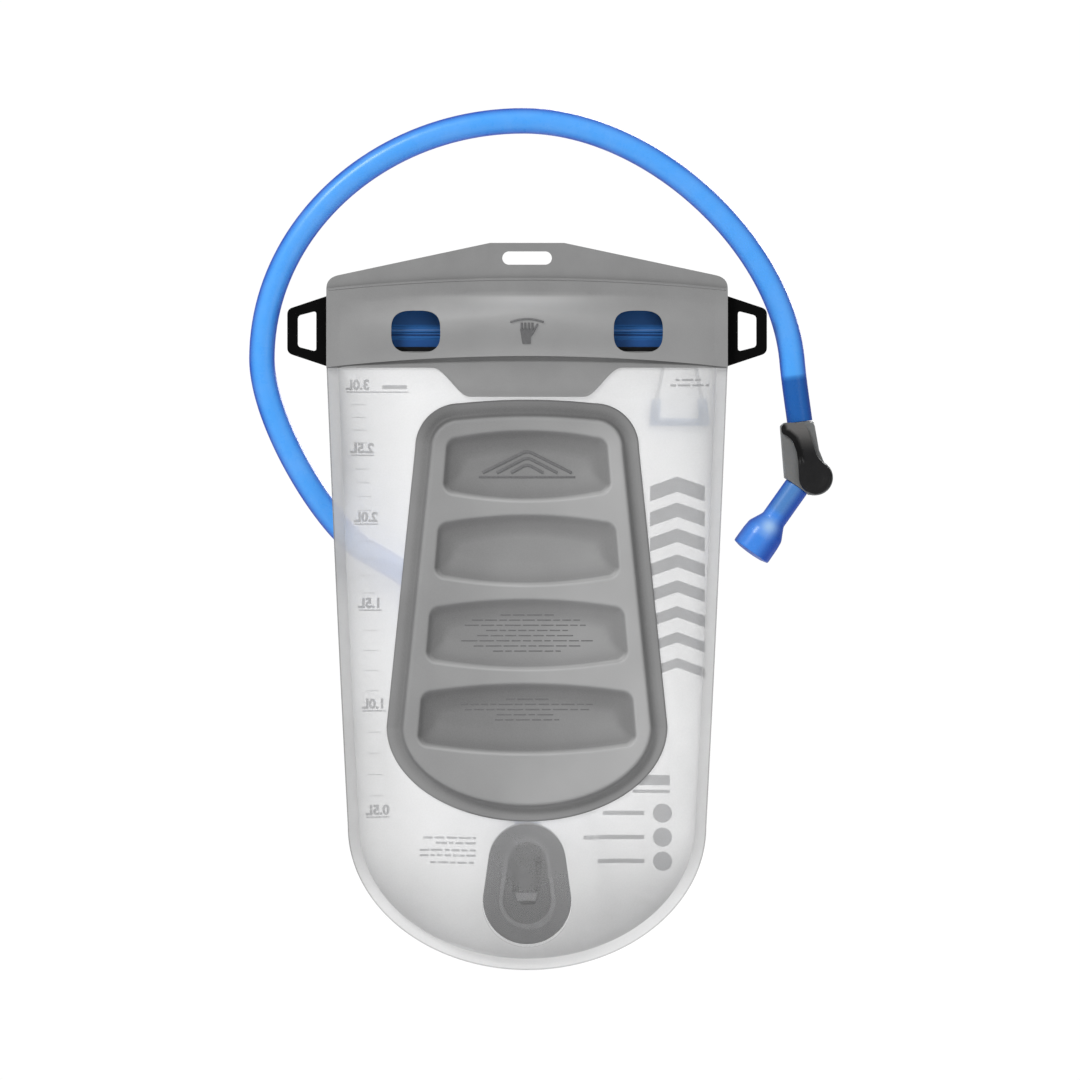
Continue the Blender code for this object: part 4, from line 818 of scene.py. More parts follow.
def bag_half_width(z):
    """Half width of the bag at a height above its round bottom."""
    if z >= BAG_STRAIGHT_Z:
        return BAG_HALF_TOP
    t = (BAG_STRAIGHT_Z - z) / (BAG_STRAIGHT_Z - BAG_TAPER_Z)
    drop = BAG_HALF_TOP - BAG_HALF_LOW
    return BAG_HALF_TOP - TAPER_LINEAR * t - (drop - TAPER_LINEAR) * t * t


def edge_distance(x, z):
    """Distance from the bag's edge, inwards."""
    if z >= BAG_TAPER_Z:
        return bag_half_width(z) - abs(x)
    dz = BAG_TAPER_Z - z
    share = hypot(x / BAG_HALF_LOW, dz / BAG_BOTTOM_RISE)
    return hypot(x, dz) * (1.0 / share - 1.0)


def pillow(distance, length):
    """0 at the weld, rising like a quarter circle to 1 at the given length."""
    return sqrt(max(0.0, 1.0 - (1.0 - clamp01(distance / length)) ** 2))


def port_distance(x, z, margin=0.0):
    """Distance outside the port's teardrop, which hulls a lower and an upper circle."""
    across = abs(x)
    up = z - PORT_LOW_Z
    height = PORT_TOP_Z - PORT_LOW_Z
    side = sqrt(1.0 - PORT_LEAN**2)
    turn = -PORT_LEAN * across + side * up
    if turn < 0.0:
        return hypot(across, up) - PORT_LOW_R - margin
    if turn > side * height:
        return hypot(across, up - height) - PORT_TOP_R - margin
    return across * side + up * PORT_LEAN - PORT_LOW_R - margin


def pucker(x, z):
    """Small waves that run in from the weld and die out."""
    inside = edge_distance(x, z) - WELD_WIDTH
    if inside <= 0.0:
        return 0.0
    along = z if z > BAG_TAPER_Z else BAG_TAPER_Z - BAG_HALF_LOW * atan2(BAG_TAPER_Z - z, abs(x))
    wave = sin(along / (2.1 * MM)) + 0.7 * sin(along / (3.4 * MM) + 1.0 + x * 9.0)
    reach = inside / (5 * MM) * exp(1.0 - inside / (5 * MM))
    held = smooth01((BAG_STRAIGHT_Z - 12 * MM - z) / (30 * MM))
    return PUCKER * wave * reach * held


def back_bulge(x, z):
    """How far the back film stands from the weld plane, towards -Y."""
    rise = sin(pi / 2 * clamp01((BACK_RISE_START - z) / BACK_RISE_LENGTH))
    return BACK_BULGE * rise * pillow(edge_distance(x, z) - WELD_WIDTH, BACK_SIDE_LENGTH)


def front_bulge(x, z):
    """How far the front film stands from the weld plane; it lies flat under the port."""
    rise = sin(pi / 2 * clamp01((FRONT_RISE_START - z) / FRONT_RISE_LENGTH))
    inside = edge_distance(x, z) - WELD_WIDTH
    free = FRONT_BULGE * rise * pillow(inside, FRONT_SIDE_LENGTH)
    held = 1.0 - smooth01(port_distance(x, z, PORT_FLAT_MARGIN) / PORT_BLEND)
    held *= smooth01(inside / (WELD_WIDTH / 2))
    return free + (PORT_FILM_BULGE - free) * held


def back_y(x, z):
    """Outer surface of the back film."""
    return BACK_FLAT_Y - back_bulge(x, z) + pucker(x, z)


def front_y(x, z):
    """Outer surface of the front film."""
    return FRONT_FLAT_Y + front_bulge(x, z) - pucker(x, z)


def film_rows(top):
    """U-shaped rows of (x, z) points from the bag's edge to its middle, left top to right top."""
    heights = spread(top, BAG_TAPER_Z, 120)
    insets = [0.0, 0.5 * MM, 0.9 * MM, 3 * MM, WELD_WIDTH - 0.2 * MM, WELD_WIDTH + 0.2 * MM]
    insets += spread(WELD_WIDTH + 1 * MM, 26 * MM, 16) + spread(26 * MM, 98 * MM, 22)[1:]
    rows = []
    for inset in insets:
        left = [(inset - bag_half_width(z), z) for z in heights]
        arc = []
        for angle in spread(0.0, pi, 110)[1:-1]:
            sideways = max(BAG_HALF_LOW - inset, 0.0)
            if inset < 26 * MM:
                down = BAG_BOTTOM_RISE - inset
            else:
                share = (inset - 26 * MM) / (BAG_HALF_LOW - 26 * MM)
                down = (BAG_BOTTOM_RISE - 26 * MM) * (1.0 - share)
            arc.append((-sideways * cos(angle), BAG_TAPER_Z - down * sin(angle)))
        right = [(-x, z) for x, z in reversed(left)]
        rows.append(left + arc + right)
    return rows


def plate_distance(x, z):
    """Rough distance outside the back plate."""
    side = 63.0 * MM + 16.1 * MM * clamp01((PLATE_TOP - z) / (PLATE_TOP - PLATE_ELLIPSE_Z))
    low = PLATE_ELLIPSE_Z - PLATE_ELLIPSE_RISE * sqrt(max(0.0, 1.0 - (x / PLATE_HALF_LOW) ** 2))
    return max(abs(x) - side, low - z, z - PLATE_TOP)


def film_painted_light(x, z):
    """How bright the haze is, in painted light and shade: most next to the plate, less beside the weld and
    low down.
    """
    inside = edge_distance(x, z) - WELD_WIDTH
    # on the weld: painted light to the right and low down, and a dark line at the cut edge
    if inside < 0.0:
        low = smooth01((BAG_TAPER_Z - z) / (50 * MM))
        cut_edge = 0.34 * smooth01((inside + WELD_WIDTH - 0.8 * MM) / (-0.3 * MM))
        return 0.59 + 0.09 * clamp01(x / (100 * MM)) + 0.28 * low - cut_edge
    glow = 0.12 * exp(-max(0.0, plate_distance(x, z)) / (14 * MM))
    side = exp(-inside / (9 * MM)) * (0.22 + 0.26 * smooth01((z + 160 * MM) / (40 * MM)))
    side *= 1.0 - 0.4 * smooth01(x / (60 * MM))
    side += 0.06 * smooth01((-x - 50 * MM) / (30 * MM)) * smooth01((-220 * MM - z) / (50 * MM))
    low = smooth01((-322 * MM - z) / (56 * MM))
    lean = 0.04 + 0.17 * clamp01(x / (50 * MM))
    far = 1.0 - smooth01(inside / (60 * MM))
    upper_right = 0.08 * smooth01(x / (50 * MM)) * smooth01((z + 130 * MM) / (40 * MM))
    return clamp01(0.90 + glow - side - upper_right - low * (0.05 + lean + 0.17 * far))


def film_marks(x, z, wets):
    """What the film's material reads at a point."""
    weld = 1.0 if edge_distance(x, z) < WELD_WIDTH else 0.0
    wet = smooth01((z - BACK_RISE_START) / (3 * MM)) if wets else 0.0
    return {"weld": weld, "wet": wet, "port": port_distance(x, z) / MM, "tone": film_painted_light(x, z)}


def film(node, outer_y, thickness, wets):
    """A film as a closed thin shell; the one that wets clings to the header."""
    bm = bmesh.new()
    layers = {name: bm.verts.layers.float.new(name) for name in ("weld", "wet", "port", "tone")}
    rows = film_rows(edge(node, HIGH, Z))
    count = len(rows[0])
    half = count // 2
    shells = []
    for shift in (0.0, thickness):
        grid = []
        for row in rows:
            line = []
            for x, z in row:
                v = bm.verts.new((x, outer_y(x, z) + shift, z))
                for name, value in film_marks(x, z, wets).items():
                    v[layers[name]] = value
                line.append(v)
            grid.append(line)
        for low, high in zip(grid, grid[1:]):
            for i in range(count - 1):
                bm.faces.new((low[i], low[i + 1], high[i + 1], high[i]))
        inner = grid[-1]
        for i in range(half - 1):
            j = count - 1 - i
            bm.faces.new((inner[i], inner[i + 1], inner[j - 1], inner[j]))
        if count % 2:
            bm.faces.new((inner[half - 1], inner[half], inner[half + 1]))
        top_edge = [line[0] for line in grid] + [line[-1] for line in reversed(grid)]
        shells.append(grid[0] + top_edge[::-1][1:-1])
    band(bm, shells[0], shells[1])
    piece(f"{node}_skin", bm, node, node)


def make_films():
    film("back_film", back_y, FILM, True)
    film("front_film", front_y, -FILM, False)


# ---------------------------------------------------------------- print


def ink(name, bm, step=None):
    """A print: flat faces in (x, z) laid on the inner side of the front film."""
    if step:
        cut(bm, step)
    inner = -FILM - 0.08 * MM
    thicken(
        bm,
        lambda x, z: front_y(x, z) + inner,
        lambda x, z: front_y(x, z) + inner + 0.05 * MM,
    )
    return piece(name, bm, "print")


def blocks(rectangles, corner=0.3 * MM):
    """Flat rounded bars: each is (x low, x high, z low, z high)."""
    bm = bmesh.new()
    for x_low, x_high, z_low, z_high in rectangles:
        loop = [(x_low, z_low), (x_high, z_low), (x_high, z_high), (x_low, z_high)]
        verts = [bm.verts.new((x, 0.0, z)) for x, z in soften(loop, corner, loop=True, steps=2)]
        bm.faces.new(verts)
    return bm


def numerals(text, size, x, z):
    """Flat glyphs that read correctly from +Y, with their first glyph's left edge at x."""
    curve = bpy.data.curves.new("numerals", "FONT")
    curve.body = text
    curve.size = size
    curve.resolution_u = 3
    curve.offset = size * 0.045
    holder = show("numerals", curve)
    graph = bpy.context.evaluated_depsgraph_get()
    mesh = bpy.data.meshes.new_from_object(holder.evaluated_get(graph))
    bpy.data.objects.remove(holder, do_unlink=True)
    bm = bmesh.new()
    bm.from_mesh(mesh)
    bmesh.ops.remove_doubles(bm, verts=bm.verts, dist=1e-6)
    for v in bm.verts:
        v.co = Vector((x - v.co.x, 0.0, z + v.co.y))
    return bm


def make_scale():
    """Volume marks down the left side: a numeral over a line each half litre, ticks between."""
    marks = [(3.0, -79.3), (2.5, -115.0), (2.0, -154.0), (1.5, -202.8), (1.0, -259.9), (0.5, -320.1)]
    line_x = -102.0
    lines = []
    for i, (litres, height) in enumerate(marks):
        z = height * MM
        start = (line_x + 11.0 * i / (len(marks) - 1)) * MM
        lines.append((start, start + (35.0 if i == 0 else 13.0) * MM, z - 0.35 * MM, z + 0.35 * MM))
        text = numerals(f"{litres:.1f}L", 7.6 * MM, start + 12.8 * MM, z + 1.5 * MM)
        ink(f"scale_numeral_{i}", text)
        if i + 1 < len(marks):
            for t in spread(0.0, 1.0, 5)[1:-1]:
                tick_z = z + (marks[i + 1][1] * MM - z) * t
                left = start + 2.0 * MM * (1.0 + t)
                lines.append((left, left + 8.0 * MM, tick_z - 0.15 * MM, tick_z + 0.15 * MM))
    heading = (line_x + 20.0) * MM
    lines.append((heading, heading + 14.0 * MM, -77.6 * MM, -75.4 * MM))
    ink("scale_lines", blocks(lines, 0.1 * MM), 12 * MM)


def make_side_graphic():
    """A column of plain chevrons that point up, like a stream."""
    middle = 85.2 * MM
    half = 15.4 * MM
    first = -127.0 * MM
    pitch = 14.7 * MM
    for i in range(8):
        top = first - pitch * i
        thick = (8.6 - 0.45 * i) * MM
        rise = 5.5 * MM
        outline = [
            (middle - half, top - rise),
            (middle, top),
            (middle + half, top - rise),
            (middle + half, top - rise - thick),
            (middle, top - thick),
            (middle - half, top - rise - thick),
        ]
        ink(f"side_chevron_{i}", flat(outline), 5 * MM)


def words(left, right, longest, order):
    """A row of blank word-like stretches: (start, end) pairs from left to right."""
    found = []
    x = left
    while x < right - 0.2 * longest:
        end = min(x + longest * order.uniform(0.35, 1.0), right)
        found.append((x, end))
        x = end + 0.15 * longest
    return found


def make_small_print():
    """Plain bars and rows of dashes where small print goes, and three plain discs."""
    order = Random(5)
    bars = [(58, 81, -302.2, -296.4), (60, 81, -306.6, -304.8)]
    bars += [(43, 66.5, -319.2, -316.8), (32, 66.5, -332.9, -330.5), (40, 66.5, -346.4, -344.0)]
    rows = [(-29 - width, -29, z) for width, z in ((30, -332), (23, -335), (32, -339), (32, -342))]
    rows += [(-55, -29, -346), (84, 100, -72.5), (81, 103, -75.5)]
    for left, right, z in rows:
        bars += [(start, end, z - 0.6, z + 0.6) for start, end in words(left, right, 7.0, order)]
    ink("small_print", blocks([[v * MM for v in bar] for bar in bars]), 6 * MM)
    for i in range(3):
        centre = (76.8 * MM, (-318.0 - 13.6 * i) * MM)
        ring = [
            (centre[0] + 5.4 * MM * cos(a), centre[1] + 5.4 * MM * sin(a))
            for a in spread(0.0, 2 * pi, 40)[:-1]
        ]
        ink(f"print_disc_{i}", flat(ring), 4 * MM)


# ---------------------------------------------------------------- header, collar and band


def make_header():
    right = [(HEADER_TOP_HALF, HEADER_TOP)]
    start = Vector(HEADER_SHOULDER)
    corner = Vector((BAG_HALF_TOP, HEADER_SHOULDER[1] - HEADER_CORNER * 0.2))
    end = Vector((BAG_HALF_TOP, HEADER_SHOULDER[1] - HEADER_CORNER))
    for t in spread(0.0, 1.0, 16):
        point = start * (1 - t) ** 2 + corner * 2 * t * (1 - t) + end * t * t
        right.append((point.x, point.y))
    right.append((BAG_HALF_TOP, HEADER_LOW))
    outline = both(right)
    radius = SLOT_HEIGHT / 2
    straight = SLOT_WIDTH / 2 - radius
    slot = [(straight + radius * sin(a), -radius + radius * cos(a)) for a in spread(0, pi, 24)]
    bm = slab(outline, -SHEET / 2, SHEET / 2, [both(slot)])
    made = piece("header_panel", bm, "sheet", "header_sheet")
    bevel(made, 0.22 * MM)
    low, high = BOX["front_strip"]
    top = min(high.z, BAND_TOP_SIDE - 1.0 * MM)
    strip = [(low.x, low.z), (high.x, low.z), (high.x, top), (low.x, top)]
    bm = slab(soften(strip, 1.5 * MM, loop=True), low.y, high.y)
    made = piece("front_trim", bm, "sheet", "front_strip")
    bevel(made, 0.2 * MM)


def collar_low(x):
    """Lower edge of the collar panel."""
    t = smooth01((COLLAR_SLOPE_X - abs(x)) / (COLLAR_SLOPE_X - COLLAR_TAB_HALF))
    return COLLAR_SIDE_Z + (COLLAR_TAB_Z - COLLAR_SIDE_Z) * t


def make_collar():
    columns = spread(-BAG_HALF_TOP, BAG_HALF_TOP, 180)
    outline = [(x, COLLAR_TOP) for x in columns] + [(x, collar_low(x)) for x in reversed(columns)]

    def outer(x, z):
        near = (z - collar_low(x) - 1.6 * MM) / (0.5 * MM)
        return back_y(x, z) - COLLAR_LIFT - SHEET + 0.22 * MM * exp(-near * near)

    def inner(x, z):
        return back_y(x, z) - COLLAR_LIFT

    piece("collar_sheet", thicken(flat(outline, step=1.3 * MM), inner, outer), "sheet", "collar_panel")


def band_edge(x, middle, side):
    """Height of an arched band edge."""
    return middle + (side - middle) * (x / BAG_HALF_TOP) ** 2


def band_top(x):
    return band_edge(x, BAND_TOP_MIDDLE, BAND_TOP_SIDE)


def band_low(x):
    return band_edge(x, BAND_LOW_MIDDLE, BAND_LOW_SIDE)


def band_bow(x, z):
    """How far the band stands out from its weld, towards -Y: steeply at its middle."""
    down = (band_top(x) - z) / (band_top(x) - band_low(x))
    across = max(0.0, 1.0 - (abs(x) / BAND_WELDED_X) ** 3)
    length = 0.30 + 0.34 * smooth01(abs(x) / (72 * MM))
    rise = sin(pi / 2 * clamp01((down - 0.205) / length))
    return BAND_SLACK * BAND_BOW * across * (rise - 0.88 * smooth01((down - 0.48) / 0.52))


def band_painted_highlight(x, z):
    """How much painted highlight the band gets: in a lens where it leaves its weld, then little by little.
    """
    start = smooth01((-23.9 * MM - z) / (2.4 * MM))
    lens = exp(-((x / (37 * MM)) ** 2)) * exp(-max(0.0, -28.5 * MM - z) / (4.5 * MM))
    broad = exp(-((x / (90 * MM)) ** 2)) * smooth01((-24 * MM - z) / (16 * MM))
    return start * (0.44 * lens + 0.22 * broad)


def band_outer(x, z):
    return BAND_INNER_Y - band_bow(x, z) - BAND_THICKNESS


def window_outline(side):
    """One of the band's windows, rounder than a rounded rectangle."""
    outline = []
    for angle in spread(0.0, 2 * pi, 72)[:-1]:
        u, v = cos(angle), sin(angle)
        reach = (abs(u) ** WINDOW_POWER + abs(v) ** WINDOW_POWER) ** (-1.0 / WINDOW_POWER)
        x = side * WINDOW_X + WINDOW_WIDTH / 2 * u * reach
        outline.append((x, WINDOW_Z + WINDOW_HEIGHT / 2 * v * reach))
    return outline


def on_band(points):
    """(x, z) points laid on the band's outer face."""
    return [Vector((x, band_outer(x, z), z)) for x, z in points]


def make_band():
    columns = spread(-BAG_HALF_TOP, BAG_HALF_TOP, 120)
    outline = [(x, band_top(x)) for x in columns] + [(x, band_low(x)) for x in reversed(columns)]
    sheet = flat(outline, [window_outline(-1), window_outline(1)], 1.9 * MM)
    bm = thicken(sheet, lambda x, z: BAND_INNER_Y - band_bow(x, z), band_outer)
    # painted highlight where the band bows out towards the light
    painted_highlight = bm.verts.layers.float.new("painted_highlight")
    for v in bm.verts:
        v[painted_highlight] = band_painted_highlight(v.co.x, v.co.z)
    made = piece("carry_band", bm, "sheet", "handle_band")
    bevel(made, 0.25 * MM, 2, 50.0)
    line = on_band([(x, band_top(x) - 1.0 * MM) for x in spread(-112 * MM, 112 * MM, 110)])
    piece("band_weld", skin(sweep(line, 0.4 * MM, 10)), "sheet")
    make_hand_mark()


def make_hand_mark():
    """A plain grip mark: a bar in an open hand."""
    arc = []
    for x in spread(-9.4 * MM, 9.4 * MM, 24):
        arc.append((x, -38.7 * MM - 1.7 * MM * (x / (9.4 * MM)) ** 2))
    bm = skin(sweep(on_band(arc), 0.6 * MM, 8))
    piece("mark_arc", bm, "mark")
    fingers = []
    for x in spread(-3.0 * MM, 3.0 * MM, 3):
        fingers.append(on_band([(x, z) for z in spread(-40.7 * MM, -44.2 * MM, 6)]))
    fingers.append(on_band([((3.0 + 3.0 * t) * MM, (-46.6 + 5.2 * t) * MM) for t in spread(0, 1, 6)]))
    piece("mark_fingers", tubes(fingers, 0.64 * MM, 8), "mark")
    palm = [(-4.0, -44.0), (3.9, -44.0), (3.4, -47.4), (2.2, -48.8), (2.2, -52.6), (-2.6, -52.6)]
    bm = thicken(
        flat(soften(mm(palm), 0.7 * MM, loop=True)),
        lambda x, z: band_outer(x, z) + 0.2 * MM,
        lambda x, z: band_outer(x, z) - 0.3 * MM,
    )
    bevel(piece("mark_palm", bm, "mark"), 0.15 * MM, 2)


# ---------------------------------------------------------------- zip, tabs, slider and pull


def make_zip():
    """Two extruded rails with rounded heads and ribbed tapes; the upper's tongue fills the lower's
    groove."""
    split = 0.15 * MM
    neck = 3.7 * MM
    head = 5.5 * MM
    tongue = 1.6 * MM
    head_low = RAIL_TOP_Y - 1.8 * MM
    tongue_low = RAIL_BACK_Y + 1.3 * MM
    tape_low = RAIL_BACK_Y + 0.35 * MM
    tape_top = tape_low + 0.8 * MM
    for name, side in (("upper", 1.0), ("lower", -1.0)):
        section = [(tape_low, TAPE_REACH), (tape_low, neck), (RAIL_BACK_Y, neck - 0.3 * MM)]
        section += [(RAIL_BACK_Y, RIDGE + 0.5 * MM), (RAIL_BACK_Y - 0.35 * MM, RIDGE)]
        section.append((RAIL_BACK_Y, RIDGE - 0.5 * MM))
        section.append((RAIL_BACK_Y, split))
        if side > 0:
            section += [(tongue_low, split), (tongue_low, -tongue), (head_low, -tongue), (head_low, split)]
        else:
            low = tongue_low - 2 * split
            high = head_low + 2 * split
            deep = tongue + 2 * split
            section += [(low, split), (low, deep), (high, deep), (high, split)]
        section += [(RAIL_TOP_Y, split), (RAIL_TOP_Y, head), (head_low, head), (head_low, neck)]
        section += [(tape_top, neck), (tape_top, TAPE_REACH)]
        section = soften(section, 0.2 * MM, loop=True, steps=3)
        xs = spread(-ZIP_HALF_LENGTH, ZIP_HALF_LENGTH, 12)
        rings = [[(x, y, ZIP_Z + side * z) for y, z in section] for x in xs]
        piece(f"zip_{name}", skin(rings), "zip", f"zip_rail_{name}")


def make_end_tabs():
    """Two tabs over the zip's ends, each narrower outwards, with a hole of the same form."""
    for side, name in ((-1, "left"), (1, "right")):

        def taper(inner_x, outer_x, inner_half, outer_half, corner):
            half = [(side * inner_x, -inner_half), (side * outer_x, -outer_half)]
            whole = half + [(x, -z) for x, z in reversed(half)]
            return soften([(x, TAB_Z + z) for x, z in whole], corner, loop=True, steps=8)

        outer = taper(TAB_INNER_X, TAB_OUTER_X, TAB_INNER_HALF, TAB_OUTER_HALF, 3 * MM)
        bm = slab(outer, TAB_LOW_Y, TAB_HIGH_Y, [taper(*TAB_HOLE, 2 * MM)])
        made = piece(f"end_tab_{name}", bm, "black", f"zip_end_tab_{name}")
        bevel(made, 0.6 * MM, 4)


def make_slider():
    """The slider's channel with soft edges, side grips and an arched lug for the cord."""
    half_length = (edge("zip_slider", HIGH, X) - edge("zip_slider", LOW, X)) / 2
    low = BOX["zip_slider"][0]
    roof_low = RAIL_TOP_Y + 0.4 * MM
    roof_high = roof_low + 2.0 * MM
    inner = 5.9 * MM
    outer = 7.9 * MM
    lip = 4.1 * MM
    lip_high = RAIL_TOP_Y - 2.2 * MM
    half = [(roof_high, outer), (low.y, outer), (low.y, lip), (lip_high, lip), (lip_high, inner)]
    half.append((roof_low, inner))
    section = half + [(y, -z) for y, z in reversed(half)]
    ends = (SLIDER_X - half_length, SLIDER_X + half_length)
    channel = skin([[(x, y, ZIP_Z + z) for y, z in section] for x in ends])
    top = edge("zip_slider", HIGH, Y)
    lug = [(roof_low + MM, 4.4 * MM), (top - 1.6 * MM, 2.9 * MM), (top, 1.3 * MM)]
    lug += [(y, -z) for y, z in reversed(lug)]
    lug = skin([[(x, y, ZIP_Z + z) for y, z in lug] for x in (SLIDER_X - 3 * MM, SLIDER_X + 3 * MM)])
    eye = rod((SLIDER_X - 6 * MM, PULL_AXIS_Y, ZIP_Z), (1, 0, 0), CORD_R + 0.4 * MM, 12 * MM, 32)
    grooves = []
    for side in (-1, 1):
        for i in range(5):
            x = SLIDER_X + side * (5.6 + 1.2 * i) * MM
            grooves.append(rod((x, roof_high, ZIP_Z - outer), UP, 0.35 * MM, 2 * outer, 12))
    mesh = moulded([channel, lug], [eye, *grooves], 0.22 * MM, 3)
    piece("slider_body", mesh, "black", "zip_slider", "slider")


def make_pull():
    """A laid cord of three strands through the slider's lug, and a rounded grip."""
    turn = 2.2 * MM
    legs = []
    for side in (-1, 1):
        top = Vector((SLIDER_X + side * CORD_HALF_TOP, PULL_AXIS_Y, ZIP_Z))
        low = Vector((SLIDER_X + side * CORD_HALF_LOW, GRIP_Y, GRIP_TOP_Z - 0.6 * MM))
        inner = top - Vector((side * turn, 0.0, 0.0))
        outer = top + (low - top).normalized() * turn
        legs.append(bezier(inner, top, top, outer, 12) + [outer.lerp(low, t) for t in spread(0, 1, 40)])
    path = legs[0][::-1] + [legs[0][0].lerp(legs[1][0], t) for t in spread(0, 1, 10)[1:-1]] + legs[1]
    strands = []
    for strand in range(3):
        centres = []
        for length, (point, across, along) in zip(travelled(path), frames(path)):
            angle = 2 * pi * (strand / 3 + length / (6.5 * MM))
            centres.append(point + (across * cos(angle) + along * sin(angle)) * CORD_R * 0.5)
        strands.append(centres)
    piece("pull_rope", tubes(strands, CORD_R * 0.56, 10), "cord", "pull_cord", "pull")
    half = [
        (GRIP_HALF_TOP, GRIP_TOP_Z),
        (GRIP_HALF_LOW, GRIP_LOW_Z + 1 * MM),
        (GRIP_HALF_LOW - 1 * MM, GRIP_LOW_Z),
    ]
    inside = [
        (GRIP_HALF_LOW - GRIP_LEG - 0.5 * MM, GRIP_LOW_Z + GRIP_BAR),
        (GRIP_HALF_TOP - GRIP_LEG, GRIP_TOP_Z),
    ]
    outline = both(half) + [(-x, z) for x, z in reversed(inside)] + inside
    outline = [(SLIDER_X + x, z) for x, z in outline]
    outline = soften(outline, 1.8 * MM, loop=True, steps=6)
    bm = slab(outline, GRIP_Y - GRIP_THICKNESS / 2, GRIP_Y + GRIP_THICKNESS / 2)
    made = piece("grip", bm, "grip", "pull_grip", "pull")
    bevel(made, 0.9 * MM, 4)


# ---------------------------------------------------------------- back plate


def plate_outline(inset):
    """The plate's outline, moved inwards: arched top, round corners, tapered sides, oval bottom."""
    corner_z = PLATE_TOP - PLATE_TOP_DROP - PLATE_CORNER
    half = []
    for x in spread(0.0, PLATE_CORNER_X, 12)[:-1]:
        half.append((x, PLATE_TOP - inset - PLATE_TOP_DROP * (x / PLATE_CORNER_X) ** 2))
    radius = PLATE_CORNER - inset
    for angle in spread(pi / 2, 0.0, 20):
        half.append((PLATE_CORNER_X + radius * cos(angle), corner_z + radius * sin(angle)))
    for angle in spread(0.0, pi / 2, 44):
        x = (PLATE_HALF_LOW - inset) * cos(angle)
        half.append((x, PLATE_ELLIPSE_Z - (PLATE_ELLIPSE_RISE - inset) * sin(angle)))
    half[-1] = (0.0, half[-1][1])
    return mirrored(half)


def recess_outline(index, grow=0.0):
    """One of the plate's recesses: arched top and bottom edges between leaning round ends."""
    top = RECESS_TOP - RECESS_PITCH * index + grow
    low = RECESS_TOP - RECESS_PITCH * index - RECESS_HEIGHT - grow
    top_half = RECESS_HALF + RECESS_GROWTH * index + grow - 1.5 * MM
    low_half = top_half + 1.6 * MM
    end_height = RECESS_HEIGHT + 2 * grow - 1.7 * RECESS_ARCH
    corner = min(max(RECESS_CORNER + grow, 4.8 * MM), end_height / 2 - 0.3 * MM)
    half = []
    for x in spread(0.0, top_half - corner, 16):
        half.append((x, top - RECESS_ARCH * (x / top_half) ** 2))
    end_z = half[-1][1]
    for angle in spread(pi / 2, 0.0, 10)[1:]:
        half.append((top_half - corner + corner * cos(angle), end_z - corner * (1 - sin(angle))))
    low_x = spread(0.0, low_half - corner, 16)
    low_end_z = low + RECESS_ARCH * (low_x[-1] / low_half) ** 2
    for angle in spread(0.0, pi / 2, 10):
        z = low_end_z + corner * (1 - sin(angle))
        half.append((low_half - corner + corner * cos(angle), z))
    for x in reversed(low_x[:-1]):
        half.append((x, low + RECESS_ARCH * (x / low_half) ** 2))
    return mirrored(half)


# The plate's section: (distance in from its edge, height over its back), then a recess's: (distance
# out from its outline, depth under the field, painted shade at its top and sides, painted shade at its
# bottom, a painted highlight where it is below zero).
PLATE_SECTION = (
    (1.0, 0.0),
    (0.3, 0.0),
    (0.0, 0.25),
    (0.0, 0.75),
    (0.12, 1.0),
    (0.5, 1.15),
    (1.2, 1.2),
    (3.0, 1.05),
    (5.2, 0.85),
    (6.8, 0.95),
    (7.7, 1.4),
    (8.4, 2.4),
    (8.9, 3.7),
    (9.4, 4.9),
    (10.0, 5.6),
    (10.9, 6.0),
    (12.2, 6.1),
)
RECESS_SECTION = (
    (1.4, 0.0, 0.0, 0.0),
    (0.8, 0.06, 0.0, -0.25),
    (0.2, 0.3, 0.10, -0.30),
    (-0.3, 0.8, 0.30, -0.30),
    (-0.8, 1.6, 0.38, -0.27),
    (-1.5, 2.5, 0.43, -0.02),
    (-2.6, 3.2, 0.47, 0.42),
    (-4.2, 3.7, 0.47, 0.38),
    (-6.2, 3.92, 0.46, 0.30),
    (-8.5, 4.0, 0.41, 0.25),
    (-12.0, 4.0, 0.27, 0.22),
)
RECESS_PAINTED_DIM = (0.86, 1.0, 1.02, 0.82)  # painted shade: brightness of each recess's floor


def contour(bm, outline, y, painted_tone_of):
    """A ring of vertices at one depth, each with a painted light and shade tone from its place and its
    outward slope.
    """
    tone = bm.verts.layers.float["tone"]
    ring = []
    count = len(outline)
    for i, (x, z) in enumerate(outline):
        v = bm.verts.new((x, y, z))
        ahead = outline[(i + 1) % count]
        behind = outline[i - 1]
        run = Vector((ahead[0] - behind[0], ahead[1] - behind[1])).normalized()
        v[tone] = clamp01(painted_tone_of(x, z, -run.y, run.x))
        ring.append(v)
    return ring


def loop_edges(bm, ring):
    return [bm.edges.get(pair) for pair in zip(ring, ring[1:] + ring[:1])]


def field_painted_light(x, z):
    """Painted light on the field: a little brighter towards +X, with painted shade at its top."""
    top = smooth01((z + 112 * MM) / (16 * MM))
    return (0.66 + 0.34 * clamp01(x / (110 * MM) + 0.5)) * (1.0 - 0.16 * top)


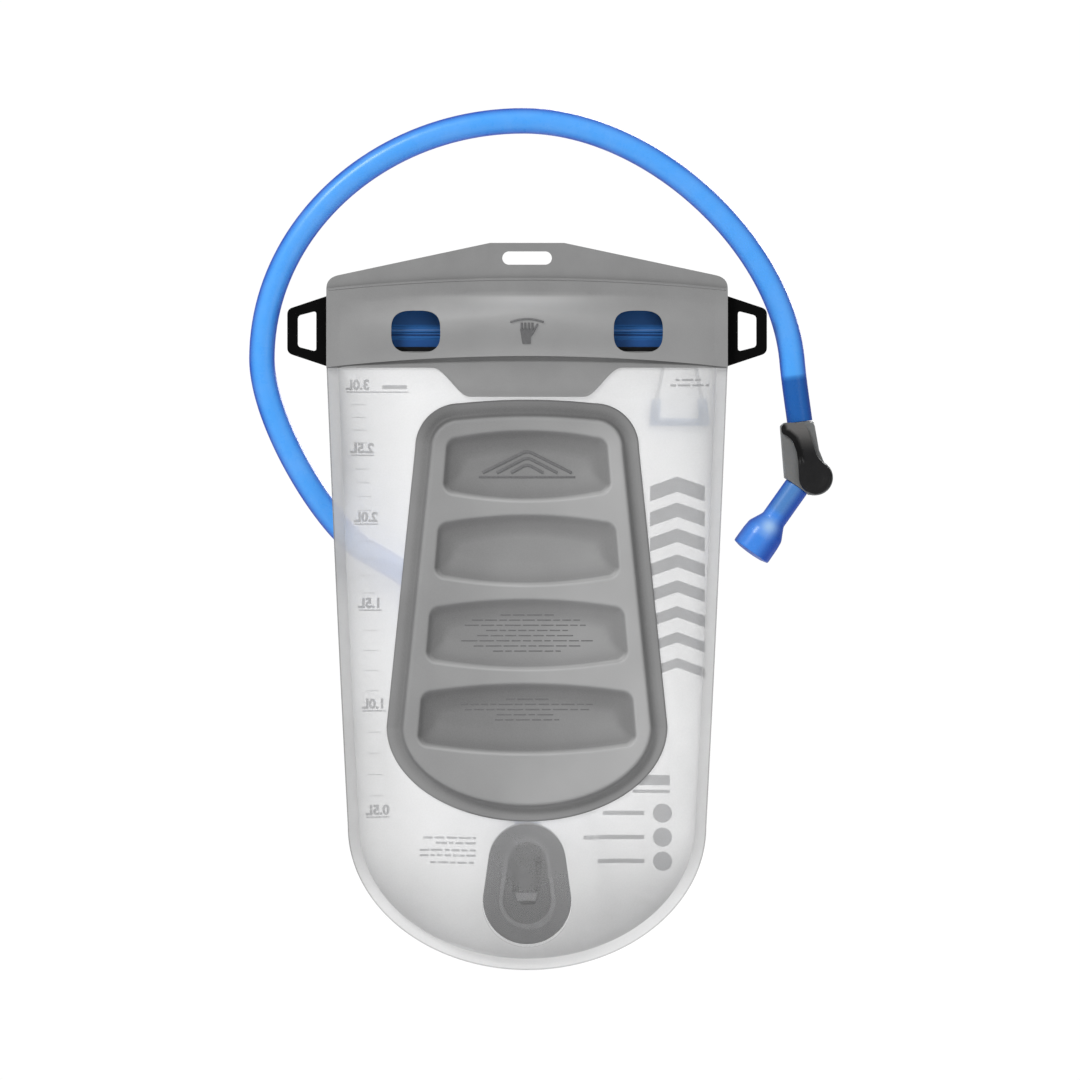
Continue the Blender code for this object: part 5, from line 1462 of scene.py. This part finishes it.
def flange_painted_shade(inset):
    """The flange's tone in painted shade, at a distance from its edge: darkest at its ends and down in its
    groove, with a dark line at its very edge.
    """
    edge_line = 1.0 - smooth01(inset / 0.9)
    groove = smooth01((inset - 2.5) / 4.5) * (1.0 - smooth01((inset - 8.8) / 1.6))
    field = smooth01((inset - 8.6) / 2.4)

    def tone(x, z, out_x, out_z):
        ends = 0.17 * max(out_z, 0.0) ** 0.8 + 0.05 * max(-out_z, 0.0)
        ends += 0.22 * max(out_z, 0.0) * max(-out_x, 0.0)
        rim = 0.62 - ends - 0.15 * groove - (0.40 if out_x > -0.3 else 0.2) * edge_line
        return rim + (field_painted_light(x, z) - rim) * field

    return tone


def recess_painted_shade(index, depth, upper, lower):
    """Painted shade darkens a recess round its floor, most at its top, and a painted highlight brightens
    its lower lip.
    """
    dim = 1.0 + (RECESS_PAINTED_DIM[index] - 1.0) * smooth01(depth / 3.0)

    def tone(x, z, out_x, out_z):
        below = smooth01((-out_z + 0.1) / 1.0)
        return field_painted_light(x, z) * (1.0 - upper - (lower - upper) * below) * dim

    return tone


def make_plate():
    """The plate as bands between contour lines, from its back round its edge to its field."""
    bm = bmesh.new()
    bm.verts.layers.float.new("tone")
    rings = []
    for inset, height in PLATE_SECTION:
        outline = plate_outline(inset * MM)
        rings.append(contour(bm, outline, PLATE_BACK_Y - height * MM, flange_painted_shade(inset)))
    bands(bm, rings)
    bm.faces.new(rings[0])
    field_edges = loop_edges(bm, rings[-1])
    front = PLATE_BACK_Y - PLATE_HEIGHT
    for index in range(RECESS_COUNT):
        steps = []
        for grow, depth, upper, lower in RECESS_SECTION:
            sunk = 0.9 * MM * smooth01(depth / 4.0)
            outline = [(x, z - sunk) for x, z in recess_outline(index, grow * MM)]
            steps.append(contour(bm, outline, front + depth * MM, recess_painted_shade(index, depth, upper, lower)))
        bands(bm, steps)
        bm.faces.new(steps[-1])
        field_edges += loop_edges(bm, steps[0])
    bmesh.ops.triangle_fill(bm, edges=field_edges, use_beauty=True)
    made = piece("back_panel", bm, "plate", "back_plate")
    weighted = made.modifiers.new("normals", "WEIGHTED_NORMAL")
    weighted.keep_sharp = True
    make_plate_marks()


def raised_lines(name, lines, radius, count=8):
    """Soft raised lines on a recess's floor, as one mesh."""
    floor_y = PLATE_BACK_Y - PLATE_HEIGHT + RECESS_DEPTH
    bm = tubes([[Vector((x, floor_y, z)) for x, z in line] for line in lines], radius, count)
    for v in bm.verts:
        v.co.y = floor_y + (v.co.y - floor_y) * 0.7
    piece(name, bm, "plate_mark")


def make_plate_marks():
    """Plain raised marks: three nested peaks over a line, and rows of fine dashes."""
    base = -127.6 * MM
    foot = base + 2.4 * MM
    peaks = []
    for half, rise in ((25.0 * MM, 12.5 * MM), (17.0 * MM, 8.8 * MM), (9.0 * MM, 5.0 * MM)):
        peaks.append(soften([(-half, foot), (0.0, foot + rise), (half, foot)], 3 * MM, steps=6))
    raised_lines("plate_peaks", peaks, 0.85 * MM)
    raised_lines("plate_peak_base", [[(-27 * MM, base), (27 * MM, base)]], 0.6 * MM)
    order = Random(11)
    for recess, widths in ((2, (30, 62, 70, 46, 56, 74, 60, 38)), (3, (24, 74, 70, 34, 36))):
        top = RECESS_TOP - RECESS_PITCH * recess - 9.0 * MM
        dashes = []
        for i, width in enumerate(widths):
            z = top - 2.9 * MM * i
            for start, end in words(-width * MM / 2, width * MM / 2, 9.0 * MM, order):
                dashes.append([(start, z), (end, z)])
        raised_lines(f"plate_note_{recess}", dashes, 0.32 * MM, 6)


# ---------------------------------------------------------------- port and latch


def teardrop(inset):
    """The port's outline: the hull of its two circles."""
    half = []
    for radius, middle, first, last, count in (
        (PORT_TOP_R - inset, PORT_TOP_Z, pi / 2, PORT_LEAN, 24),
        (PORT_LOW_R - inset, PORT_LOW_Z, PORT_LEAN, -pi / 2, 32),
    ):
        for angle in spread(first, last, count):
            half.append((radius * cos(angle), middle + radius * sin(angle)))
    half[0] = (0.0, half[0][1])
    half[-1] = (0.0, half[-1][1])
    return mirrored(half)


def make_port():
    """Flange, pedestal and vertical socket, carved at the back into a pocket with ribs and a ledge."""
    flange_top = PORT_FLANGE_Y + PORT_FLANGE
    steps = [(0.4, 0.0), (0.0, 0.4), (0.0, 1.35), (0.4, 1.75), (7.2, 1.75), (7.5, 2.1), (7.9, 3.25)]
    rings = []
    for inset, height in steps:
        y = PORT_FLANGE_Y + height * MM
        rings.append([(x, y, z) for x, z in teardrop(inset * MM)])
    top = SOCKET_TOP - SOCKET_LOW
    rim_r = SOCKET_R + 0.9 * MM
    socket = [(SOCKET_R, 0.0), (SOCKET_R, top - 4.4 * MM), (rim_r, top - 3.8 * MM)]
    socket += [(rim_r, top - 1.6 * MM), (SOCKET_R, top - 1.0 * MM), (SOCKET_R, top)]
    web = SOCKET_R - 0.2 * MM
    solids = [
        skin(rings),
        lathe(socket, (0.0, SOCKET_Y, SOCKET_LOW), UP, 96),
        box(
            (-web, flange_top - 0.9 * MM, SOCKET_LOW + 0.1 * MM),
            (web, SOCKET_Y - 1.4 * MM, SOCKET_TOP - 0.1 * MM),
        ),
    ]
    over = 1.0 * MM
    slot_half = LATCH_HALF + 0.3 * MM
    slot_low = (-slot_half, flange_top + 1.9 * MM, LATCH_LOW_Z - 0.3 * MM)
    slot_high = (slot_half, SOCKET_Y + 2 * SOCKET_R, LATCH_LOW_Z + LATCH_THICKNESS + 0.3 * MM)
    deep = PORT_FLANGE_Y + POCKET + 2.4 * MM
    ledge = mm([(-6.8, -363.2), (5.9, -363.2), (4.8, -367.8), (-5.7, -367.8)])
    cutters = [
        rod((0, SOCKET_Y, SEAT_TOP), UP, BORE_R, SOCKET_TOP - SEAT_TOP + over, 64),
        rod((0, SOCKET_Y, SOCKET_LOW - over), UP, BORE_R, SEAT_LOW - SOCKET_LOW + over, 64),
        rod((0, SOCKET_Y, SEAT_LOW - over), UP, SEAT_R, SEAT_TOP - SEAT_LOW + 2 * over, 64),
        box((-4.2 * MM, PORT_FLANGE_Y, -369.8 * MM), (4.2 * MM, PORT_FLANGE_Y + 9 * MM, -368.2 * MM)),
        box(slot_low, slot_high),
        box(
            (-7.4 * MM, SOCKET_Y + SOCKET_R, SOCKET_LOW),
            (7.4 * MM, SOCKET_Y + SOCKET_R + 3 * MM, SOCKET_TOP + over),
        ),
        slab(teardrop(8.3 * MM), PORT_FLANGE_Y - over, PORT_FLANGE_Y + 0.5 * MM),
        slab(teardrop(11.4 * MM), PORT_FLANGE_Y - over, PORT_FLANGE_Y + POCKET, [ledge]),
        box((-8.3 * MM, PORT_FLANGE_Y, -362.9 * MM), (-4.8 * MM, deep, -347.4 * MM)),
        box((4.9 * MM, PORT_FLANGE_Y, -362.9 * MM), (8.0 * MM, deep, -341.6 * MM)),
    ]
    mesh = moulded(solids, cutters, 0.4 * MM, 3)

    def shade(at):
        """Painted light towards the top and on the ledge, painted shade down in the pocket."""
        sunk = (at.y - PORT_FLANGE_Y) / POCKET
        value = -0.3 * smooth01((at.z + 342 * MM) / (10 * MM))
        if port_distance(at.x, at.z) < -9 * MM and sunk < 3.0:
            value += -0.8 + 1.15 * smooth01(sunk)
        return value

    mark_points(mesh, "shade", shade)
    piece("port_housing", mesh, "port", "port_base")
    for side in (-1, 1):
        rib = box(
            (side * 14 * MM - 0.7 * MM, flange_top, -377 * MM),
            (side * 14 * MM + 0.7 * MM, flange_top + 4.5 * MM, -343 * MM),
        )
        made = piece(f"port_rib_{(side + 1) // 2}", rib, "port")
        bevel(made, 0.4 * MM)
    profile = [(0.1, 0.0), (8.0, 0.0), (9.0, 0.7), (9.0, 2.1), (6.9, 2.1), (6.9, 4.8), (0.1, 4.8)]
    profile = soften(mm(profile), 0.3 * MM)
    bm = lathe(profile, (0.0, SOCKET_Y, edge("port_plug", LOW, Z)), UP)
    piece("port_end_plug", bm, "port", "port_plug")


def make_latch():
    """A thumb latch: a plate with an oval hole round the connector, and a ridged head in front."""
    low_y = edge("release_latch", LOW, Y)
    socket_front = SOCKET_Y + SOCKET_R
    z_low = LATCH_LOW_Z
    z_high = LATCH_LOW_Z + LATCH_THICKNESS
    neck = 4.0 * MM
    half = [
        (LATCH_HALF, low_y),
        (LATCH_HALF, SOCKET_Y + 4.0 * MM),
        (neck, socket_front),
        (neck, socket_front + LATCH_TRAVEL + 0.8 * MM),
    ]
    plate = skin([[(x, y, z) for x, y in both(half)] for z in (z_low, z_high)])
    hole = []
    for sign, centre in ((1, SOCKET_Y + LATCH_TRAVEL), (-1, SOCKET_Y)):
        for angle in spread(0.0, pi, 32):
            hole.append((sign * BORE_R * cos(angle), centre + sign * BORE_R * sin(angle)))
    cutter = skin([[(x, y, z) for x, y in hole] for z in (z_low - MM, z_high + MM)])
    middle = (z_low + z_high) / 2
    head_y = socket_front + LATCH_TRAVEL + 0.3 * MM
    head_top = edge("release_latch", HIGH, Y)
    head = rod((0.0, head_y, middle), (0, 1, 0), LATCH_HEAD_R, head_top - head_y, 64)
    ridges = []
    for i in range(4):
        z = middle + (i - 1.5) * 2.4 * MM
        width = 0.8 * sqrt(LATCH_HEAD_R**2 - (z - middle) ** 2)
        ridges.append(rod((-width, head_top, z), (1, 0, 0), 0.55 * MM, 2 * width, 16))
    mesh = moulded([plate, head, *ridges], [cutter], 0.28 * MM, 3)
    piece("thumb_latch", mesh, "port", "release_latch", "latch")


# ---------------------------------------------------------------- hose and its ends


def make_connector():
    """Spigot, seal groove, latch groove, ribbed collar and barb, on the socket's axis."""
    origin = Vector((0.0, SOCKET_Y, 0.0))
    outer = [(6.0, -355.5), (6.8, -354.7), (6.8, -351.0), (5.3, -351.0), (5.3, -348.8), (6.8, -348.8)]
    outer += [(6.8, -346.6), (5.8, -346.6), (5.8, -343.0), (6.8, -343.0), (6.8, -336.0), (9.6, -336.0)]
    for z in spread(-335.2, -332.4, 3):
        outer += [(9.6, z - 0.3), (9.2, z), (9.6, z + 0.3)]
    outer += [(9.6, -331.2), (3.7, -331.0), (3.7, -324.0), (4.3, -324.0), (3.7, -317.0), (4.3, -317.0)]
    outer += [(3.5, -311.0)]
    inner = [(CHANNEL_R / MM, -311.0), (CHANNEL_R / MM, -355.5)]
    profile = soften(mm(outer + inner), 0.25 * MM, loop=True, steps=3)
    bm = lathe(profile, origin, UP, 72, loop=True)
    piece("quick_connector", bm, "port", "hose_connector", "hose_line")


def hose_path(detail):
    """The hose's middle line: up from the port, left past the bag, over the top and down again."""

    def at(x, depth, z):
        return Vector((x * MM, depth, z * MM))

    near = SOCKET_Y
    far = HOSE_LOOP_Y
    bag_exit = at(-91.5, near, -169)
    left = at(-150.6, far, -60)
    top = at(-2, far, 75)
    right = at(150.3, far, -60)
    path = [at(0, near, HOSE_START_Z / MM).lerp(at(0, near, -275), t) for t in spread(0, 1, 12)[:-1]]
    path += bezier(at(0, near, -275), at(0, near, -225), at(-56.5, near, -188.3), bag_exit, 9 * detail)
    path += bezier(bag_exit, at(-113.4, near - 1.5 * MM, -156.9), at(-150.6, far, -96), left, 8 * detail)
    path += bezier(left, at(-150.6, far, 14), at(-84, far, 75), top, 9 * detail)
    path += bezier(top, at(70, far, 75), at(143.7, far, 6), right, 10 * detail)
    tip = HOSE_END - VALVE_IN * 0.15 * MM
    path += bezier(right, at(151.3, far, -72), at(153.2, far, -84), tip, 4 * detail)
    return path + [tip]


def make_hose():
    """The tube; the stretches over its two barbs are marked for the material."""
    path = hose_path(5)
    lengths = travelled(path)
    total = lengths[-1]

    def over_barb(length):
        start = 1.0 - smooth01((length - 19 * MM) / (2 * MM))
        end = 1.0 - smooth01((total - length - BARB_LENGTH - 2.5 * MM) / (2 * MM))
        return max(start, end)

    marks = [over_barb(length) for length in lengths]
    bm = bmesh.new()
    barb = bm.verts.layers.float.new("barb")
    rows = cover(bm, sweep(path, HOSE_R, 40) + sweep(path, HOSE_BORE_R, 40)[::-1], loop=True)
    for row, mark in zip(rows, marks + marks[::-1]):
        for v in row:
            v[barb] = mark
    piece("drinking_tube", bm, "hose", "hose", "hose_line")


def arc_points(radius, first, last, count):
    """Points about the rotor's axis; angles in degrees from +X towards +Z."""
    return [
        (ROTOR_X + radius * cos(radians(a)), ROTOR_Z + radius * sin(radians(a)))
        for a in spread(first, last, count)
    ]


def make_valve():
    """The valve's housing: a waisted elbow with a collar, an open cavity and two barbs."""
    across = Vector((-VALVE_OUT.z, 0.0, VALVE_OUT.x))
    faces = sorted((OUTLET - across * 8.6 * MM, OUTLET + across * 8.6 * MM), key=lambda p: -p.x)
    outline = mm([(143.7, -98.2), (145.6, -96.5), (161.4, -96.3), (162.9, -98.0), (165.4, -112.0)])
    outline += arc_points(VALVE_SHELL_R, 60.0, -105.0, 28)
    outline += [(p.x, p.z) for p in faces]
    body = slab(outline, VALVE_LOW_Y, VALVE_HIGH_Y)
    collar = lathe(
        [(7.4 * MM, 0.0), (7.9 * MM, 0.6 * MM), (7.9 * MM, 5.0 * MM), (6.9 * MM, 6.5 * MM)],
        HOSE_END + VALVE_IN * 0.1 * MM, VALVE_IN, 64,
    )
    inlet = [(BARB_R - 0.7 * MM, 0.0), (BARB_R - 0.7 * MM, 10 * MM), (BARB_R - 0.2 * MM, 10 * MM)]
    inlet += [(BARB_R - 0.7 * MM, 17 * MM), (BARB_R - 0.2 * MM, 17 * MM), (BARB_R - 0.9 * MM, 25 * MM)]
    outlet = [(BARB_R - 0.5 * MM, 0.0), (BARB_R - 0.5 * MM, 10 * MM), (BARB_R, 10 * MM)]
    outlet.append((BARB_R - 0.7 * MM, 20 * MM))
    solids = [
        body,
        collar,
        lathe(inlet, HOSE_END + VALVE_IN * 3 * MM, -VALVE_IN, 48),
        lathe(outlet, OUTLET - VALVE_OUT * 3 * MM, VALVE_OUT, 48),
        rod((ROTOR_X, VALVE_HIGH_Y - MM, ROTOR_Z), (0, 1, 0), 8.6 * MM, 1.5 * MM, 64),
    ]
    in_start = HOSE_END - VALVE_IN * (BARB_LENGTH + 2 * MM)
    cutters = [
        rod((ROTOR_X, VALVE_LOW_Y - MM, ROTOR_Z), (0, 1, 0), ROTOR_CAVITY_R, 14.5 * MM, 64),
        rod(in_start, VALVE_IN, CHANNEL_R * 0.8, BARB_LENGTH + 26 * MM, 32),
        rod(OUTLET - VALVE_OUT * 7 * MM, VALVE_OUT, CHANNEL_R, 26 * MM, 32),
    ]
    mesh = moulded(solids, cutters, 0.3 * MM, 8)
    piece("valve_housing", mesh, "valve", "valve_body", "valve")


def make_rotor():
    """A round plug with a flat side that lets the water by, a seal groove and a neck."""
    origin = Vector((ROTOR_X, VALVE_LOW_Y, ROTOR_Z))
    profile = [(0.1, -2.2), (3.4, -2.2), (3.4, 0.4), (7.7, 0.4), (7.7, 1.2), (6.2, 1.2), (6.2, 2.6)]
    profile += [(7.7, 2.6), (7.7, 13.0), (0.1, 13.0)]
    profile = soften(mm(profile), 0.25 * MM, steps=3)
    body = lathe(profile, origin, (0, 1, 0), 64)
    passage = box(
        (ROTOR_X - 12 * MM, VALVE_LOW_Y + 4 * MM, ROTOR_Z - 12 * MM),
        (ROTOR_X - 2 * MM, VALVE_LOW_Y + 11 * MM, ROTOR_Z + 12 * MM),
    )
    mesh = moulded([body], [passage])
    piece("rotor_plug", mesh, "white", "valve_rotor", "lever")


def line_distance(point, line):
    """Distance from a point to a polyline, in two dimensions."""
    found = []
    for a, b in zip(line, line[1:]):
        along = b - a
        t = clamp01((point - a).dot(along) / along.length_squared)
        found.append((a + along * t - point).length)
    return min(found)


def make_lever():
    """A domed disc over the rotor with a hooked thumb paddle."""
    outline = mm([(157.6, -98.2), (159.0, -101.4), (161.0, -107.0), (164.2, -115.6)])
    outline += arc_points(LEVER_DISC_R, 62.0, -172.0, 40)
    lower = [(153.4, -118.5), (152.6, -112.8), (150.2, -106.6), (147.2, -103.9), (144.4, -102.9)]
    lower += [(143.6, -99.8), (144.8, -97.7), (147.4, -96.7), (155.6, -96.9)]
    outline += mm(lower)
    outline = soften(outline, 1.2 * MM, loop=True, steps=3)
    body = slab(outline, LEVER_LOW_Y + 0.9 * MM, LEVER_HIGH_Y)
    centre_x = sum(x for x, z in outline) / len(outline)
    inner = [(x + (centre_x - x) * 0.10, z) for x, z in outline]
    crown = slab(inner, LEVER_LOW_Y + 0.2 * MM, LEVER_HIGH_Y - 1.0 * MM)
    radius = LEVER_DISC_R
    dome = [(radius - 0.3 * MM, -0.5 * MM), (radius - 0.9 * MM, 0.6 * MM), (radius * 0.7, 1.3 * MM)]
    dome += [(radius * 0.35, 1.7 * MM), (0.05 * MM, 1.8 * MM)]
    dome = lathe(dome, (ROTOR_X, LEVER_LOW_Y + 1.5 * MM, ROTOR_Z), (0, -1, 0), 64)
    seat = rod((ROTOR_X, LEVER_HIGH_Y - 2.3 * MM, ROTOR_Z), (0, 1, 0), 3.7 * MM, 3.3 * MM, 48)
    mesh = moulded([body, crown, dome], [seat], 0.25 * MM, 10)
    middle_y = (LEVER_LOW_Y + LEVER_HIGH_Y) / 2
    hook = [Vector((x * MM, z * MM)) for x, z in lower[:6]]

    def near(at):
        """1 along the paddle's hooked side, 0 away from it and beside the disc."""
        close = 1.0 - smooth01((line_distance(Vector((at.x, at.z)), hook) - 2.2 * MM) / (2.4 * MM))
        return close * smooth01((at.z + 121 * MM) / (6 * MM))

    # painted sheen towards the paddle's top, and painted shade along its hooked side
    mark_points(mesh, "sheen", lambda at: 0.44 * smooth01((at.z + 116 * MM) / (18 * MM)) ** 1.5)
    mark_points(mesh, "shade", lambda at: 0.95 * near(at))
    for v in mesh.vertices:
        if v.co.y < middle_y:
            sunk = 0.26 * max(0.0, v.co.z + 106 * MM) + 1.4 * MM * near(v.co)
            v.co.y += min(sunk, middle_y - v.co.y)
    piece("lever_arm", mesh, "lever", "lever", "lever")


def make_bite_valve():
    """A soft cup: a sleeve over the outlet barb, a cone, and a head that bows out, with a slit."""
    length = BITE_LENGTH / MM
    head = BITE_HEAD_R / MM
    bore = BITE_BORE_R / MM
    inner = [(0.1, length - 3.0), (head - 4.4, length - 3.2), (head - 2.4, length - 5.0)]
    inner += [(head - 2.4, BITE_NECK / MM + 1.0), (bore, BITE_STUB / MM), (bore, 0.3)]
    outer = [(7.0, 0.1), (7.2, 0.5)] + [(7.2, d) for d in spread(2.0, 22.9, 14)]
    outer += [(7.6, 24.0), (8.4, 25.6), (9.2, 27.2), (10.0, 28.8), (10.7, 30.2), (11.1, 31.4)]
    outer += [(11.5, 36.0), (11.6, 44.6), (11.3, 45.3), (7.5, 46.2), (3.5, 46.5), (0.1, 46.6)]
    profile = soften(mm(inner + outer), 0.5 * MM, steps=4)
    body = lathe(profile, OUTLET, VALVE_OUT, 96)
    tip = OUTLET + VALVE_OUT * (BITE_LENGTH + 2 * MM)
    across = Vector((VALVE_OUT.z, 0.0, -VALVE_OUT.x))
    ring = []
    for u, v in ((-1, -1), (1, -1), (1, 1), (-1, 1)):
        ring.append(tip + across * BITE_SLIT / 2 * u + Vector((0.0, 0.3 * MM * v, 0.0)))
    slit = skin([ring, [p - VALVE_OUT * (BITE_WALL + 4 * MM) for p in ring]])
    mesh = moulded([body], [slit])

    def barb(at):
        along = (at - OUTLET).dot(VALVE_OUT)
        return 0.85 * (1.0 - smooth01((along - 16 * MM) / (5 * MM)))

    def sheen(at):
        """A painted highlight on the front of the cone."""
        aside = hypot((at - OUTLET).dot(across), (at - OUTLET).dot(VALVE_OUT) - 28 * MM)
        return 0.8 * exp(-((aside / (4.2 * MM)) ** 2)) if at.y < OUTLET.y else 0.0

    mark_points(mesh, "barb", barb)
    mark_points(mesh, "sheen", sheen)
    piece("mouthpiece_cup", mesh, "bite", "bite_valve", "mouthpiece")


def finish_carried_nodes():
    """Hidden working pieces keep their CAD shape and get their own finish."""
    for node, finish in (
        ("poppet", "white"),
        ("poppet_spring", "steel"),
        ("seat_ring", "rubber"),
        ("connector_oring", "rubber"),
        ("rotor_oring", "rubber"),
    ):
        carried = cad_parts[node].data.materials
        carried.clear()
        carried.append(FINISH[finish][1])


# ---------------------------------------------------------------- studio


def add_lamp(name, at, size, power, target):
    lamp = bpy.data.lights.new(name, "AREA")
    lamp.shape = "DISK"
    lamp.size = size
    lamp.energy = power
    made = show(name, lamp)
    made.location = at
    made.rotation_euler = (Vector(target) - made.location).to_track_quat("-Z", "Y").to_euler()


def make_lights():
    """Three soft lamps in a white room that lights less than it shows."""
    middle = (CAD_LOW + CAD_HIGH) / 2
    add_lamp("key", middle + Vector((-1.3, -1.7, 1.9)), 0.9, 46.0, middle)
    add_lamp("fill", middle + Vector((1.5, -2.0, -0.3)), 1.6, 7.0, middle)
    add_lamp("back", middle + Vector((0.8, 2.2, 1.1)), 1.6, 50.0, middle)
    world = bpy.data.worlds.new("studio")
    world.use_nodes = True
    nodes = world.node_tree.nodes
    links = world.node_tree.links
    nodes.clear()
    output = nodes.new("ShaderNodeOutputWorld")
    ray = nodes.new("ShaderNodeLightPath")
    mix = nodes.new("ShaderNodeMixShader")
    links.new(ray.outputs["Is Camera Ray"], mix.inputs[0])
    for socket, strength in ((1, 0.42), (2, 1.02)):
        white = nodes.new("ShaderNodeBackground")
        white.inputs["Color"].default_value = (1.0, 1.0, 1.0, 1.0)
        white.inputs["Strength"].default_value = strength
        links.new(white.outputs[0], mix.inputs[socket])
    links.new(mix.outputs[0], output.inputs["Surface"])
    bpy.context.scene.world = world
    bpy.context.scene.view_settings.view_transform = "Standard"


def make_floor():
    """A round pale floor."""
    rim = [(FLOOR_R * cos(a), FLOOR_R * sin(a)) for a in spread(0.0, 2 * pi, 96)[:-1]]
    bm = bmesh.new()
    bm.faces.new([bm.verts.new((x, y, 0.0)) for x, y in rim])
    mesh = to_mesh("floor", bm)
    mesh.materials.append(floor_material())
    floor = show("floor", mesh)
    floor.location = (0.0, 0.0, FLOOR_Z)


def make_camera():
    """A camera that looks along +Y, level, with FRAME_WIDTH across its frame at y = 0."""
    lens = bpy.data.cameras.new("camera")
    lens.sensor_width = SENSOR
    lens.lens = SENSOR * abs(CAMERA.y) / FRAME_WIDTH
    camera = show("camera", lens)
    camera.location = CAMERA
    camera.rotation_euler = (pi / 2, 0.0, 0.0)
    bpy.context.scene.camera = camera


make_films()
make_scale()
make_side_graphic()
make_small_print()
make_header()
make_collar()
make_band()
make_zip()
make_end_tabs()
make_slider()
make_pull()
make_plate()
make_port()
make_latch()
make_connector()
make_hose()
make_valve()
make_rotor()
make_lever()
make_bite_valve()
finish_carried_nodes()
make_lights()
make_floor()
make_camera()
